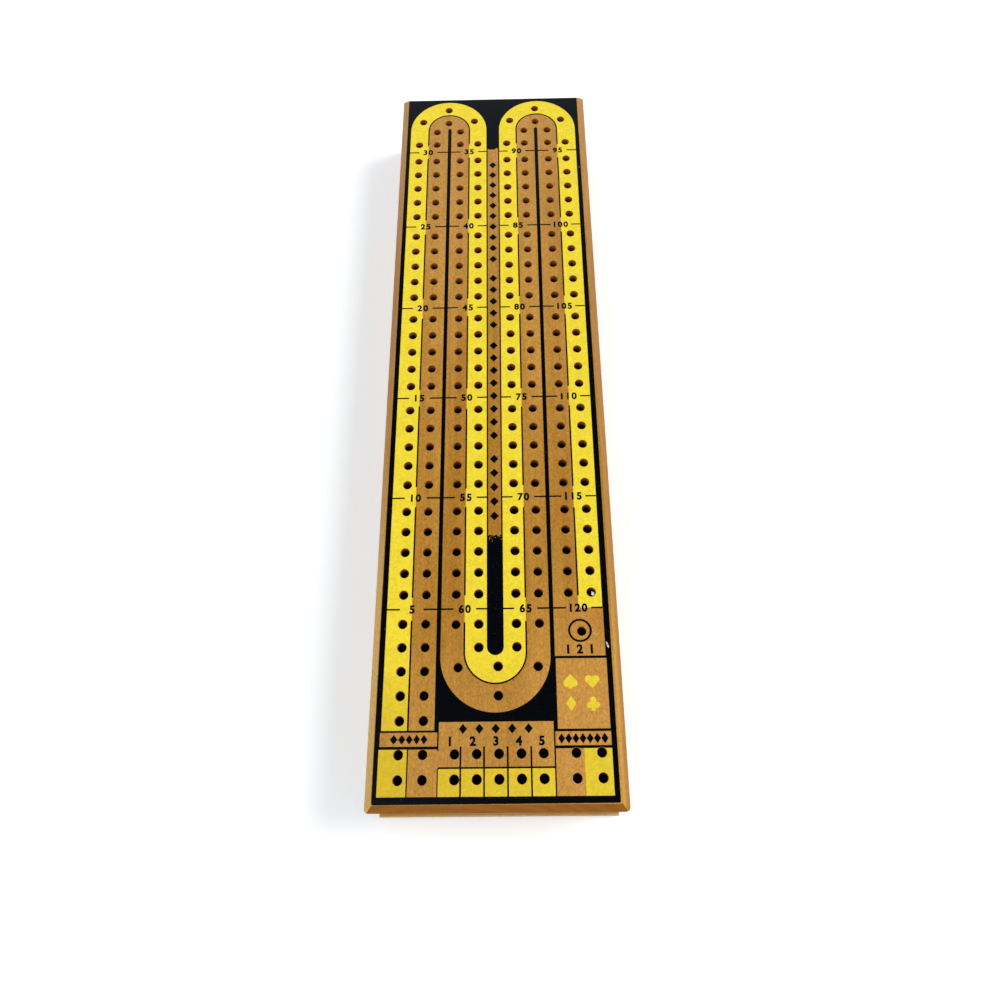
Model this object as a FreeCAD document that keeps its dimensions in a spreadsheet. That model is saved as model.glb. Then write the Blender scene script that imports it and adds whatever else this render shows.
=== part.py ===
"""Cribbage box: a pegging board glued on a shallow wooden case, with a drawer for cards and pegs.

Frame: +Z up, +Y towards the closed back end, millimetres. The origin is on the table, in the
middle of the footprint. The drawer leaves the case along -Y. Every size is a cell of the sheet,
and every piece is bound to those cells.
"""

import FreeCAD, Part
import os
import re

import Sketcher

# name, size in millimetres (angles in degrees), what it sets
SIZES = [
    ("case_length", 306.8, "length of the pegging board and the case"),
    ("case_width", 82.55, "width of the pegging board and the case"),
    ("case_height", 30.2, "table to playing face"),
    ("board_thickness", 9.5, "pegging board"),
    ("edge_chamfer", 2.4, "chamfer round the playing face"),
    ("rail_thickness", 4.8, "side rails of the case"),
    ("back_thickness", 9.5, "back rail of the case"),
    ("panel_thickness", 3.0, "bottom panel"),
    ("panel_recess", 0.2, "panel's underside above the rails' feet"),
    ("panel_ledge", 2.4, "how far the panel reaches under each rail"),
    ("front_thickness", 9.5, "drawer front"),
    ("front_gap", 0.4, "drawer front to the board above and the table below"),
    ("close_gap", 0.2, "drawer front to the ends of the rails when shut"),
    ("lip_reach", 1.2, "finger lip in front of the drawer front's face"),
    ("lip_rise", 3.4, "height of the finger lip"),
    ("lip_edge", 0.5, "broken edge of the finger lip"),
    ("cove_length", 52.0, "finger cove in the drawer front, end to end"),
    ("cove_radius", 4.6, "radius of the finger cove's cutter"),
    ("cove_depth", 3.2, "how deep the finger cove is cut"),
    ("side_gap", 0.5, "drawer side to rail"),
    ("glide_gap", 0.2, "drawer side above the panel"),
    ("head_gap", 0.5, "drawer side below the board"),
    ("end_gap", 1.0, "drawer back to back rail when shut"),
    ("drawer_wall", 3.0, "drawer sides"),
    ("side_housing", 3.0, "how far the drawer sides are let into the drawer front"),
    ("drawer_back_wall", 5.0, "drawer back"),
    ("floor_thickness", 1.8, "drawer floor"),
    ("floor_lift", 0.3, "drawer floor above the lower edge of the drawer sides"),
    ("floor_ledge", 1.5, "how far the drawer floor reaches under each side"),
    ("divider_thickness", 3.2, "drawer dividers"),
    ("divider_drop", 1.6, "top of a divider below the top of the drawer sides"),
    ("divider_housing", 1.0, "how far a divider is let into each drawer side"),
    ("card_bay", 93.0, "length of each bay for a deck of cards"),
    ("thumb_radius", 13.0, "radius of the thumb notch in a divider"),
    ("thumb_depth", 7.0, "depth of the thumb notch"),
    ("hole_diameter", 3.2, "peg holes"),
    ("hole_depth", 6.4, "peg holes, blind"),
    ("drill_skew", 0.28, "angle of the drilling to the board's edges"),
    ("hole_pitch", 7.75, "peg hole to peg hole along a street"),
    ("group_step", 41.56, "first hole of a group of five to the first of the next"),
    ("first_row", 70.6, "front edge to the first row that all eight lanes share"),
    ("inner_lane", 6.45, "middle of the board to the nearest lane"),
    ("lane_spacing", 7.85, "lane to lane within a street"),
    ("street_spacing", 18.25, "street to street on one half of the board"),
    ("opening_row", 28.2, "front edge to the first scoring hole"),
    ("opening_pitch", 8.03, "pitch of the first five scoring holes"),
    ("start_row", 9.9, "front edge to the front row of storage holes"),
    ("start_pitch", 7.75, "storage row to storage row"),
    ("games_pitch", 7.2, "column to column of the games counter"),
    ("corner_inner", 24.9, "middle of the board to the inner storage column"),
    ("corner_spacing", 8.2, "inner to outer storage column"),
    ("finish_across", 28.6, "middle of the board to the last hole"),
    ("finish_row", 57.0, "front edge to the last hole"),
    ("arch_row", 285.0, "front edge to the centres of the back arches"),
    ("arch_lead", 7.5, "holes beside an arch's centre line, before its centre"),
    ("arch_angle", 62.0, "middle hole to the next on the arch's outer lane"),
    ("bend_row", 52.0, "front edge to the centre of the front bend's inner lane"),
    ("bend_offset", 1.75, "centre of the outer lane's bend in front of the inner one's"),
    ("bend_lead", 8.0, "holes before the centre of the front bend"),
    ("bend_angle", 70.0, "middle hole to the next on the bend's outer lane"),
    ("brad_diameter", 1.2, "brad shank"),
    ("brad_head", 2.1, "brad head diameter"),
    ("brad_head_height", 0.5, "brad head height"),
    ("brad_length", 12.0, "brad"),
    ("brad_clearance", 0.05, "pilot hole round a brad, on the radius"),
    ("panel_brad_inset", 17.0, "end of the panel to its first brad"),
    ("end_brad_across", 18.0, "middle of the case to a back rail brad"),
    ("corner_brad_rise", 5.0, "lower corner brad above its piece's lower edge"),
    ("corner_brad_step", 8.0, "lower to upper corner brad"),
    ("peg_length", 36.0, "peg, tip to head"),
    ("peg_head_length", 7.0, "peg head"),
    ("peg_head", 4.8, "peg head diameter"),
    ("peg_shank", 3.1, "peg shank diameter at the head"),
    ("peg_tip", 2.6, "peg shank diameter at the tip"),
    ("peg_edge", 0.5, "broken edges of a peg"),
    ("peg_waist", 3.9, "diameter at the bottom of the groove round the head"),
    ("peg_groove", 1.6, "width of the groove round the head"),
    ("peg_rest_gap", 0.15, "peg above the drawer floor"),
    ("peg_spacing", 8.2, "peg to peg where they lie in the drawer"),
    ("peg_inset", 8.0, "drawer front's back face to the nearest peg end"),
]
NAMES = {name for name, number, meaning in SIZES}

PANEL_BRADS_PER_SIDE = 5
GROUPS_PER_LANE = 5
HOLES_PER_GROUP = 5
GAMES_COLUMNS = 5

# metal, turn about the vertical in degrees, and whether the head points to the back
PEGS = [
    ("brass", 2.0, True),
    ("brass", -3.0, False),
    ("brass", 1.5, True),
    ("steel", -2.0, True),
    ("steel", 3.0, False),
    ("steel", -1.0, True),
]

doc = FreeCAD.newDocument("cribbage_box")
sheet = doc.addObject("Spreadsheet::Sheet", "sheet")
for row, (name, amount, meaning) in enumerate(SIZES, start=1):
    sheet.set(f"A{row}", name)
    sheet.set(f"B{row}", str(amount))
    sheet.set(f"C{row}", meaning)
    sheet.setAlias(f"B{row}", name)
doc.recompute()

# Places that several pieces share, as formulas on the sheet. Y counts from the middle of the case.
FRONT_END = "(-case_length / 2)"
BACK_END = "(case_length / 2)"
RAIL_FRONT = f"({FRONT_END} + front_thickness + close_gap)"
HALF_INSIDE = "(case_width / 2 - rail_thickness)"
BOARD_UNDERSIDE = "(case_height - board_thickness)"
PANEL_TOP = "(panel_recess + panel_thickness)"
HALF_DRAWER = f"({HALF_INSIDE} - side_gap)"
HALF_BAY = f"({HALF_DRAWER} - drawer_wall)"
FRONT_HEIGHT = f"({BOARD_UNDERSIDE} - 2 * front_gap)"
FRONT_BACK_FACE = f"({FRONT_END} + front_thickness)"
DRAWER_BOTTOM = f"({PANEL_TOP} + glide_gap)"
DRAWER_TOP = f"({BOARD_UNDERSIDE} - head_gap)"
DRAWER_HEIGHT = f"({DRAWER_TOP} - {DRAWER_BOTTOM})"
DRAWER_END = f"({BACK_END} - back_thickness - end_gap)"
FLOOR_BOTTOM = f"({DRAWER_BOTTOM} + floor_lift)"
FLOOR_TOP = f"({FLOOR_BOTTOM} + floor_thickness)"
BAY_BACK = f"({DRAWER_END} - drawer_back_wall)"
REAR_DIVIDER = f"({BAY_BACK} - card_bay - divider_thickness)"
FRONT_DIVIDER = f"({REAR_DIVIDER} - card_bay - divider_thickness)"
CASE_MIDDLE = "(lip_reach / 2)"
OUTER_LANE = "(inner_lane + lane_spacing + street_spacing)"


def on_sheet(formula):
    """The formula with the name of each size written as the sheet's cell."""
    return re.sub(r"[a-z_]+", lambda word: f"sheet.{word[0]}" if word[0] in NAMES else word[0], formula)


def number(formula):
    """What a formula comes to with the sheet as it is."""
    return float(sheet.evalExpression(on_sheet(formula)))


def bind(thing, name, formula):
    thing.setExpression(name, on_sheet(formula))


def place(thing, across="0", along="0", up="0"):
    """Puts a piece in the frame; along counts from the middle of the case."""
    bind(thing, "Placement.Base.x", across)
    bind(thing, "Placement.Base.y", f"{CASE_MIDDLE} + {along}")
    bind(thing, "Placement.Base.z", up)


def box(label, width, length, height, across, along, up):
    """A board as a box: its low corner is at across, along, up."""
    board = doc.addObject("Part::Box", label)
    bind(board, "Width", length)
    bind(board, "Length", width)
    bind(board, "Height", height)
    place(board, across, along, up)
    return board


def new_body(label):
    body = doc.addObject("PartDesign::Body", label)
    body.Label = label
    return body


def origin_feature(body, role):
    return next(feature for feature in body.Origin.OriginFeatures if feature.Role == role)


def sketch_on(body, name, role, offset=None, turn=None):
    """A sketch on one of the body's own planes, lifted by offset and turned by turn."""
    sketch = body.newObject("Sketcher::SketchObject", name)
    sketch.AttachmentSupport = (origin_feature(body, role), [""])
    sketch.MapMode = "FlatFace"
    if offset:
        bind(sketch, "AttachmentOffset.Base.z", offset)
    if turn:
        sketch.AttachmentOffset = FreeCAD.Placement(
            FreeCAD.Vector(), FreeCAD.Rotation(FreeCAD.Vector(0, 0, 1), number(turn))
        )
        bind(sketch, "AttachmentOffset.Rotation.Angle", turn)
    return sketch


def pin_point(sketch, curve, point, x, y):
    """Holds a point of a curve at (x, y) from the sketch's origin."""
    for kind, formula in (("DistanceX", x), ("DistanceY", y)):
        index = sketch.addConstraint(Sketcher.Constraint(kind, -1, 1, curve, point, number(formula)))
        name = f"{kind}{curve}"
        sketch.renameConstraint(index, name)
        bind(sketch, f"Constraints.{name}", formula)


def polygon(sketch, corners):
    """A closed outline through corners, each a pair of formulas."""
    points = [FreeCAD.Vector(number(x), number(y), 0) for x, y in corners]
    for start, end in zip(points, points[1:] + points[:1]):
        sketch.addGeometry(Part.LineSegment(start, end), False)
    for line in range(len(corners)):
        sketch.addConstraint(Sketcher.Constraint("Coincident", line, 2, (line + 1) % len(corners), 1))
    for line, (x, y) in enumerate(corners):
        pin_point(sketch, line, 1, x, y)


def circles(sketch, centres, diameter):
    for curve, (x, y) in enumerate(centres):
        middle = FreeCAD.Vector(number(x), number(y), 0)
        sketch.addGeometry(Part.Circle(middle, FreeCAD.Vector(0, 0, 1), number(diameter) / 2), False)
        pin_point(sketch, curve, 3, x, y)
        index = sketch.addConstraint(Sketcher.Constraint("Diameter", curve, number(diameter)))
        sketch.renameConstraint(index, f"Across{curve}")
        bind(sketch, f"Constraints.Across{curve}", diameter)


def pad(body, sketch, length, centred=False, reverse=False):
    feature = body.newObject("PartDesign::Pad", f"{sketch.Name}_pad")
    feature.Profile = sketch
    bind(feature, "Length", length)
    feature.SideType = "Symmetric" if centred else "One side"
    feature.Reversed = reverse
    return feature


def pocket(body, sketch, depth):
    feature = body.newObject("PartDesign::Pocket", f"{sketch.Name}_pocket")
    feature.Profile = sketch
    bind(feature, "Length", depth)
    return feature


def row_of(body, sketch, axis, count, spacing):
    """One straight step of a pattern: count copies along an axis of the sketch."""
    pattern = body.newObject("PartDesign::LinearPattern", f"{sketch.Name}_row")
    pattern.Direction = (sketch, [axis])
    pattern.Mode = "Spacing"
    pattern.Occurrences = count
    bind(pattern, "Offset", spacing)
    return pattern


def mirror_of(body, sketch):
    """The same again across the sketch's upright axis."""
    mirror = body.newObject("PartDesign::Mirrored", f"{sketch.Name}_mirror")
    mirror.MirrorPlane = (sketch, ["V_Axis"])
    return mirror


def repeat(body, feature, steps):
    pattern = body.newObject("PartDesign::MultiTransform", f"{feature.Name}_all")
    pattern.Originals = [feature]
    pattern.Transformations = steps
    body.Tip = pattern
    return pattern


def cut(label, base, tool):
    """The piece called label: base with tool taken out of it."""
    result = doc.addObject("Part::Cut", label)
    result.Base = base
    result.Tool = tool
    return result


def from_front(row):
    """A distance from the front edge as a place from the middle of the board."""
    return f"({row} - case_length / 2)"


def drill(body, name, centres, steps=()):
    """Blind peg holes at centres on the playing face, then the steps of a pattern of them."""
    sketch = sketch_on(body, name, "XY_Plane", offset="board_thickness", turn="drill_skew")
    circles(sketch, centres, "hole_diameter")
    holes = pocket(body, sketch, "hole_depth")
    if steps:
        made = [row_of(body, sketch, *step) if step else mirror_of(body, sketch) for step in steps]
        repeat(body, holes, made)


def bend_centres(middle, radius, lead, angle, row, way):
    """Five holes of a lane round a bend: before it, three on the arc, and after it."""
    reach = f"{radius} * sin({angle})"
    rise = f"{row} + {way} * {radius} * cos({angle})"
    start = f"{row} - {way} * {lead}"
    return [
        (f"{middle} - {radius}", start),
        (f"{middle} - {reach}", rise),
        (middle, f"{row} + {way} * {radius}"),
        (f"{middle} + {reach}", rise),
        (f"{middle} + {radius}", start),
    ]


def make_top_board():
    """The pegging board: chamfered round its face and drilled for the two tracks and the counters."""
    body = new_body("top_board")
    blank = sketch_on(body, "board_outline", "XY_Plane")
    polygon(
        blank,
        [
            ("-case_width / 2", "-case_length / 2"),
            ("case_width / 2", "-case_length / 2"),
            ("case_width / 2", "case_length / 2"),
            ("-case_width / 2", "case_length / 2"),
        ],
    )
    board = pad(body, blank, "board_thickness")
    doc.recompute()
    face_height = number("board_thickness")
    rim = [
        f"Edge{index}"
        for index, edge in enumerate(board.Shape.Edges, start=1)
        if min(vertex.Z for vertex in edge.Vertexes) > face_height - 0.001
    ]
    bevel = body.newObject("PartDesign::Chamfer", "board_bevel")
    bevel.Base = (board, rim)
    bind(bevel, "Size", "edge_chamfer")

    lanes = ("H_Axis", 2, "lane_spacing")
    storage_rows = ("V_Axis", 2, "start_pitch")
    drill(
        body,
        "opening",
        [(f"-{OUTER_LANE}", from_front("opening_row"))],
        [lanes, ("V_Axis", HOLES_PER_GROUP, "opening_pitch")],
    )
    drill(body, "start", [(f"-{OUTER_LANE}", from_front("start_row"))], [lanes, storage_rows])
    drill(
        body,
        "games",
        [(f"-{(GAMES_COLUMNS - 1) // 2} * games_pitch", from_front("start_row"))],
        [("H_Axis", GAMES_COLUMNS, "games_pitch"), storage_rows],
    )
    drill(
        body,
        "corners",
        [("corner_inner", from_front("start_row"))],
        [("H_Axis", 2, "corner_spacing"), storage_rows],
    )
    drill(body, "finish", [("finish_across", from_front("finish_row"))])

    arch_middle = "(inner_lane + lane_spacing + street_spacing / 2 - lane_spacing / 2)"
    wide = "(lane_spacing / 2 + street_spacing / 2)"
    narrow = "(street_spacing / 2 - lane_spacing / 2)"
    arch_row = from_front("arch_row")
    outer = bend_centres(arch_middle, wide, "arch_lead", "arch_angle", arch_row, 1)
    inner = bend_centres(arch_middle, narrow, "arch_lead", "90", arch_row, 1)
    drill(body, "back_arches", outer + inner, [None])

    inner_row = from_front("bend_row")
    outer_row = from_front("(bend_row - bend_offset)")
    outer_lead = "(bend_lead + bend_offset)"
    drill(
        body,
        "front_bend",
        bend_centres("0", "inner_lane", "bend_lead", "90", inner_row, -1)
        + bend_centres("0", "(inner_lane + lane_spacing)", outer_lead, "bend_angle", outer_row, -1),
    )
    drill(
        body,
        "streets",
        [("inner_lane", from_front("first_row"))],
        [
            lanes,
            ("H_Axis", 2, "street_spacing"),
            None,
            ("V_Axis", HOLES_PER_GROUP, "hole_pitch"),
            ("V_Axis", GROUPS_PER_LANE, "group_step"),
        ],
    )
    place(body, up=BOARD_UNDERSIDE)
    return body


def brads(label, role, spots, offset, grow="0", mirrored=False):
    """Brads driven from a plane of their body; grow makes the same set as cutters for the pilot holes."""
    body = new_body(label)
    inward = mirrored
    for name, diameter, length in (
        ("shanks", "brad_diameter", "brad_length"),
        ("heads", "brad_head", "brad_head_height"),
    ):
        sketch = sketch_on(body, f"{label}_{name}", role, offset=offset)
        circles(sketch, spots, f"({diameter} + 2 * {grow})")
        feature = pad(body, sketch, f"({length} + {grow})", reverse=inward)
    if mirrored:
        other = body.newObject("PartDesign::Mirrored", f"{label}_other_side")
        other.Originals = [body.getObject(f"{label}_shanks_pad"), feature]
        other.MirrorPlane = (origin_feature(body, "YZ_Plane"), [""])
        body.Tip = other
    place(body)
    return body


def brad_set(label, role, spots, offset, mirrored=False):
    """The brads and the cutters for their pilot holes."""
    fasteners = brads(label, role, spots, offset, mirrored=mirrored)
    pilots = brads(f"{label}_pilots", role, spots, offset, grow="brad_clearance", mirrored=mirrored)
    return fasteners, pilots


def make_case():
    """Rails, back rail and bottom panel, with the brads that join them."""
    ledge_middle = f"({HALF_INSIDE} + panel_ledge / 2)"
    panel_length = f"({BACK_END} - {RAIL_FRONT})"
    brad_step = f"({panel_length} - 2 * panel_brad_inset) / {PANEL_BRADS_PER_SIDE - 1}"
    panel_spots = [
        (f"{side} * {ledge_middle}", f"{RAIL_FRONT} + panel_brad_inset + {step} * {brad_step}")
        for side in (-1, 1)
        for step in range(PANEL_BRADS_PER_SIDE)
    ]
    panel_spots += [(f"{side} * end_brad_across", f"{BACK_END} - back_thickness / 2") for side in (-1, 1)]
    panel_brads, panel_pilots = brad_set("panel_brads", "XY_Plane", panel_spots, "panel_recess")
    corner_spots = [
        (f"{BACK_END} - back_thickness / 2", f"{PANEL_TOP} + corner_brad_rise + {step} * corner_brad_step")
        for step in range(2)
    ]
    corner_brads, corner_pilots = brad_set(
        "corner_brads", "YZ_Plane", corner_spots, "case_width / 2", mirrored=True
    )
    pieces = [panel_brads, corner_brads]

    for side, way in (("left", -1), ("right", 1)):
        blank = new_body(f"side_rail_{side}_blank")
        profile = sketch_on(blank, f"rail_profile_{side}", "XZ_Plane")
        outside = f"{way} * case_width / 2"
        ledge = f"{way} * ({HALF_INSIDE} + panel_ledge)"
        inside = f"{way} * {HALF_INSIDE}"
        polygon(
            profile,
            [
                (outside, "0"),
                (ledge, "0"),
                (ledge, PANEL_TOP),
                (inside, PANEL_TOP),
                (inside, BOARD_UNDERSIDE),
                (outside, BOARD_UNDERSIDE),
            ],
        )
        pad(blank, profile, panel_length, centred=True)
        place(blank, along=f"({BACK_END} + {RAIL_FRONT}) / 2")
        bored = cut(f"side_rail_{side}_bored", blank, panel_pilots)
        pieces.append(cut(f"side_rail_{side}", bored, corner_pilots))

    back_blank = box(
        "back_rail_blank",
        f"2 * {HALF_INSIDE}",
        "back_thickness",
        f"{BOARD_UNDERSIDE} - {PANEL_TOP}",
        f"-{HALF_INSIDE}",
        f"({BACK_END} - back_thickness)",
        PANEL_TOP,
    )
    back_bored = cut("back_rail_bored", back_blank, panel_pilots)
    pieces.append(cut("back_rail", back_bored, corner_pilots))

    half_panel = f"({HALF_INSIDE} + panel_ledge)"
    panel_blank = box(
        "bottom_panel_blank",
        f"2 * {half_panel}",
        panel_length,
        "panel_thickness",
        f"-{half_panel}",
        RAIL_FRONT,
        "panel_recess",
    )
    pieces.append(cut("bottom_panel", panel_blank, panel_pilots))
    return pieces


def make_drawer_front():
    """Drawer front: finger lip along its foot, cove above the lip, and housings for the two sides."""
    body = new_body("drawer_front_blank")
    profile = sketch_on(body, "front_profile", "YZ_Plane")
    polygon(
        profile,
        [
            (FRONT_BACK_FACE, "0"),
            (f"{FRONT_END} - lip_reach", "0"),
            (f"{FRONT_END} - lip_reach", "lip_rise - lip_edge"),
            (f"{FRONT_END} - lip_reach + lip_edge", "lip_rise"),
            (FRONT_END, "lip_rise"),
            (FRONT_END, FRONT_HEIGHT),
            (FRONT_BACK_FACE, FRONT_HEIGHT),
        ],
    )
    pad(body, profile, "case_width", centred=True)
    housing = sketch_on(body, "side_housing_plan", "XY_Plane", offset=FRONT_HEIGHT)
    polygon(
        housing,
        [
            (HALF_BAY, f"{FRONT_BACK_FACE} - side_housing"),
            (HALF_DRAWER, f"{FRONT_BACK_FACE} - side_housing"),
            (HALF_DRAWER, FRONT_BACK_FACE),
            (HALF_BAY, FRONT_BACK_FACE),
        ],
    )
    slot = pocket(body, housing, f"front_gap + {FRONT_HEIGHT} - {DRAWER_BOTTOM}")
    repeat(body, slot, [mirror_of(body, housing)])
    place(body, up="front_gap")

    cove_middle = f"({BOARD_UNDERSIDE} + lip_rise) / 2"
    half_straight = "(cove_length / 2 - cove_radius)"
    cutter_depth = f"{FRONT_END} + cove_depth - cove_radius"
    bar = doc.addObject("Part::Cylinder", "cove_bar")
    bar.Placement.Rotation = FreeCAD.Rotation(FreeCAD.Vector(0, 1, 0), 90)
    bind(bar, "Radius", "cove_radius")
    bind(bar, "Height", f"2 * {half_straight}")
    place(bar, f"-{half_straight}", cutter_depth, cove_middle)
    parts = [bar]
    for side in (-1, 1):
        ball = doc.addObject("Part::Sphere", "cove_end")
        bind(ball, "Radius", "cove_radius")
        place(ball, f"{side} * {half_straight}", cutter_depth, cove_middle)
        parts.append(ball)
    cutter = doc.addObject("Part::MultiFuse", "cove_cutter")
    cutter.Shapes = parts
    return cut("drawer_front", body, cutter)


def make_drawer_side(name, way, pilots):
    """A drawer side, rebated along its foot for the floor and grooved for the two dividers."""
    body = new_body(f"{name}_blank")
    profile = sketch_on(body, f"{name}_profile", "XZ_Plane")
    outside = f"{way} * {HALF_DRAWER}"
    inside = f"{way} * {HALF_BAY}"
    ledge = f"{way} * ({HALF_BAY} + floor_ledge)"
    polygon(
        profile,
        [
            (outside, "0"),
            (ledge, "0"),
            (ledge, "floor_lift + floor_thickness"),
            (inside, "floor_lift + floor_thickness"),
            (inside, DRAWER_HEIGHT),
            (outside, DRAWER_HEIGHT),
        ],
    )
    front = f"({FRONT_BACK_FACE} - side_housing)"
    middle = f"(({front} + {DRAWER_END}) / 2)"
    pad(body, profile, f"{DRAWER_END} - {front}", centred=True)
    for label, divider in (("front", FRONT_DIVIDER), ("rear", REAR_DIVIDER)):
        groove = sketch_on(body, f"{name}_groove_{label}", "XY_Plane", offset=DRAWER_HEIGHT)
        start = f"{divider} - {middle}"
        polygon(
            groove,
            [
                (inside, start),
                (f"{way} * ({HALF_BAY} + divider_housing)", start),
                (f"{way} * ({HALF_BAY} + divider_housing)", f"{start} + divider_thickness"),
                (inside, f"{start} + divider_thickness"),
            ],
        )
        pocket(body, groove, f"{DRAWER_HEIGHT} - floor_lift - floor_thickness")
    place(body, along=middle, up=DRAWER_BOTTOM)
    return cut(name, body, pilots)


def make_divider(label, along):
    """A divider housed in both drawer sides, with a thumb notch in its top edge."""
    height = f"({DRAWER_TOP} - divider_drop - {FLOOR_TOP})"
    half_width = f"({HALF_BAY} + divider_housing)"
    blank = box(
        f"{label}_blank",
        f"2 * {half_width}",
        "divider_thickness",
        height,
        f"-{half_width}",
        along,
        FLOOR_TOP,
    )
    notch = doc.addObject("Part::Cylinder", f"{label}_notch")
    notch.Placement.Rotation = FreeCAD.Rotation(FreeCAD.Vector(1, 0, 0), -90)
    bind(notch, "Radius", "thumb_radius")
    bind(notch, "Height", "3 * divider_thickness")
    place(
        notch,
        "0",
        f"{along} - divider_thickness",
        f"{DRAWER_TOP} - divider_drop + thumb_radius - thumb_depth",
    )
    return cut(label, blank, notch)


def make_drawer():
    """The drawer's front, sides, back, floor and dividers, and the brads at its back corners."""
    back_middle = f"{DRAWER_END} - drawer_back_wall / 2"
    corner_spots = [
        (back_middle, f"{DRAWER_BOTTOM} + corner_brad_rise + {step} * corner_brad_step")
        for step in range(2)
    ]
    fasteners, pilots = brad_set("drawer_brads", "YZ_Plane", corner_spots, HALF_DRAWER, mirrored=True)
    pieces = [fasteners, make_drawer_front()]
    pieces.append(make_drawer_side("drawer_side_left", -1, pilots))
    pieces.append(make_drawer_side("drawer_side_right", 1, pilots))
    back_blank = box(
        "drawer_back_blank",
        f"2 * {HALF_BAY}",
        "drawer_back_wall",
        f"{DRAWER_TOP} - {FLOOR_TOP}",
        f"-{HALF_BAY}",
        BAY_BACK,
        FLOOR_TOP,
    )
    pieces.append(cut("drawer_back", back_blank, pilots))
    half_floor = f"({HALF_BAY} + floor_ledge)"
    pieces.append(
        box(
            "drawer_floor",
            f"2 * {half_floor}",
            f"{DRAWER_END} - {FRONT_BACK_FACE}",
            "floor_thickness",
            f"-{half_floor}",
            FRONT_BACK_FACE,
            FLOOR_BOTTOM,
        )
    )
    pieces.append(make_divider("drawer_divider_front", FRONT_DIVIDER))
    pieces.append(make_divider("drawer_divider_rear", REAR_DIVIDER))
    return pieces


def make_peg(label, place_in_row, turn, head_to_back):
    """A turned metal peg, grooved round its head and tapering to its tip, lying on the drawer floor."""
    body = new_body(label)
    profile = sketch_on(body, f"{label}_profile", "XY_Plane")
    shoulder = "(peg_length - peg_head_length)"
    groove = "(peg_length - peg_head_length / 2)"
    polygon(
        profile,
        [
            ("0", "0"),
            ("0", "peg_tip / 2 - peg_edge"),
            ("peg_edge", "peg_tip / 2"),
            (shoulder, "peg_shank / 2"),
            (shoulder, "peg_head / 2 - peg_edge"),
            (f"{shoulder} + peg_edge", "peg_head / 2"),
            (f"{groove} - peg_groove / 2", "peg_head / 2"),
            (groove, "peg_waist / 2"),
            (f"{groove} + peg_groove / 2", "peg_head / 2"),
            ("peg_length - peg_edge", "peg_head / 2"),
            ("peg_length", "peg_head / 2 - peg_edge"),
            ("peg_length", "0"),
        ],
    )
    turned = body.newObject("PartDesign::Revolution", f"{label}_turned")
    turned.Profile = profile
    turned.ReferenceAxis = (profile, ["H_Axis"])
    turned.Angle = 360
    heading = (90 if head_to_back else -90) + turn
    slope = -number("asin((peg_head - peg_tip) / 2 / (peg_length - peg_head_length))")
    body.Placement.Rotation = FreeCAD.Rotation(heading, slope, 0)
    tip_end = "peg_inset" if head_to_back else "(peg_inset + peg_length)"
    across = f"-{HALF_BAY} + ({place_in_row} + 1) * peg_spacing"
    place(body, across, f"{FRONT_BACK_FACE} + {tip_end}", f"{FLOOR_TOP} + peg_rest_gap + peg_tip / 2")
    return body


def main():
    pieces = [make_top_board()] + make_case() + make_drawer()
    counts = {}
    for index, (metal, turn, head_to_back) in enumerate(PEGS):
        counts[metal] = counts.get(metal, 0) + 1
        pieces.append(make_peg(f"peg_{metal}_{counts[metal]}", index, turn, head_to_back))
    doc.recompute()

    for thing in doc.Objects:
        if "Invalid" in thing.State or "Error" in thing.State:
            raise RuntimeError(f"{thing.Label} did not build: {thing.State}")
    for piece in pieces:
        if piece.Shape.isNull() or not piece.Shape.isValid():
            raise RuntimeError(f"{piece.Label} has no valid shape")

    os.makedirs("parts", exist_ok=True)
    for piece in pieces:
        piece.Shape.exportStep(f"parts/{piece.Label}.step")
        extent = piece.Shape.BoundBox
        print(
            f"{piece.Label}: {len(piece.Shape.Solids)} solids, {piece.Shape.Volume:.1f} mm3, "
            f"x {extent.XMin:.2f}..{extent.XMax:.2f}, y {extent.YMin:.2f}..{extent.YMax:.2f}, "
            f"z {extent.ZMin:.2f}..{extent.ZMax:.2f}"
        )


main()
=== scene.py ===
"""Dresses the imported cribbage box: a drilled and printed maple board on a shallow case with a drawer.

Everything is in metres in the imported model's frame: +Z up, +Y towards the closed back end, the
origin on the table in the middle of the footprint. The print's own sizes are in millimetres.
"""

import math
import random
from functools import partial

import bmesh
import bpy
import numpy
from bpy.props import FloatProperty, FloatVectorProperty, IntProperty, PointerProperty
from mathutils import Euler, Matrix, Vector
from mathutils.geometry import delaunay_2d_cdt


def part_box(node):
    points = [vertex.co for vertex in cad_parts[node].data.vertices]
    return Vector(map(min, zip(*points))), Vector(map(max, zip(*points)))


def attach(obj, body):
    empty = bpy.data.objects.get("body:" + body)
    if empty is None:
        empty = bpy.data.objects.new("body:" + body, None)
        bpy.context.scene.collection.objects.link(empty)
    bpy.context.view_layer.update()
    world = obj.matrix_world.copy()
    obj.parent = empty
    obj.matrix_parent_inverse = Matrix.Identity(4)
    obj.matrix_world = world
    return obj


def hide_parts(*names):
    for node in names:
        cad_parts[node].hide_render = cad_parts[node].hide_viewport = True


bl_info = {
    "name": "Cribbage box",
    "version": (1, 0, 0),
    "blender": (4, 5, 0),
    "location": "3D View > Sidebar > Cribbage box",
    "description": "Builds the finished look of a cribbage box around its packed solids",
    "category": "Object",
}

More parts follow.
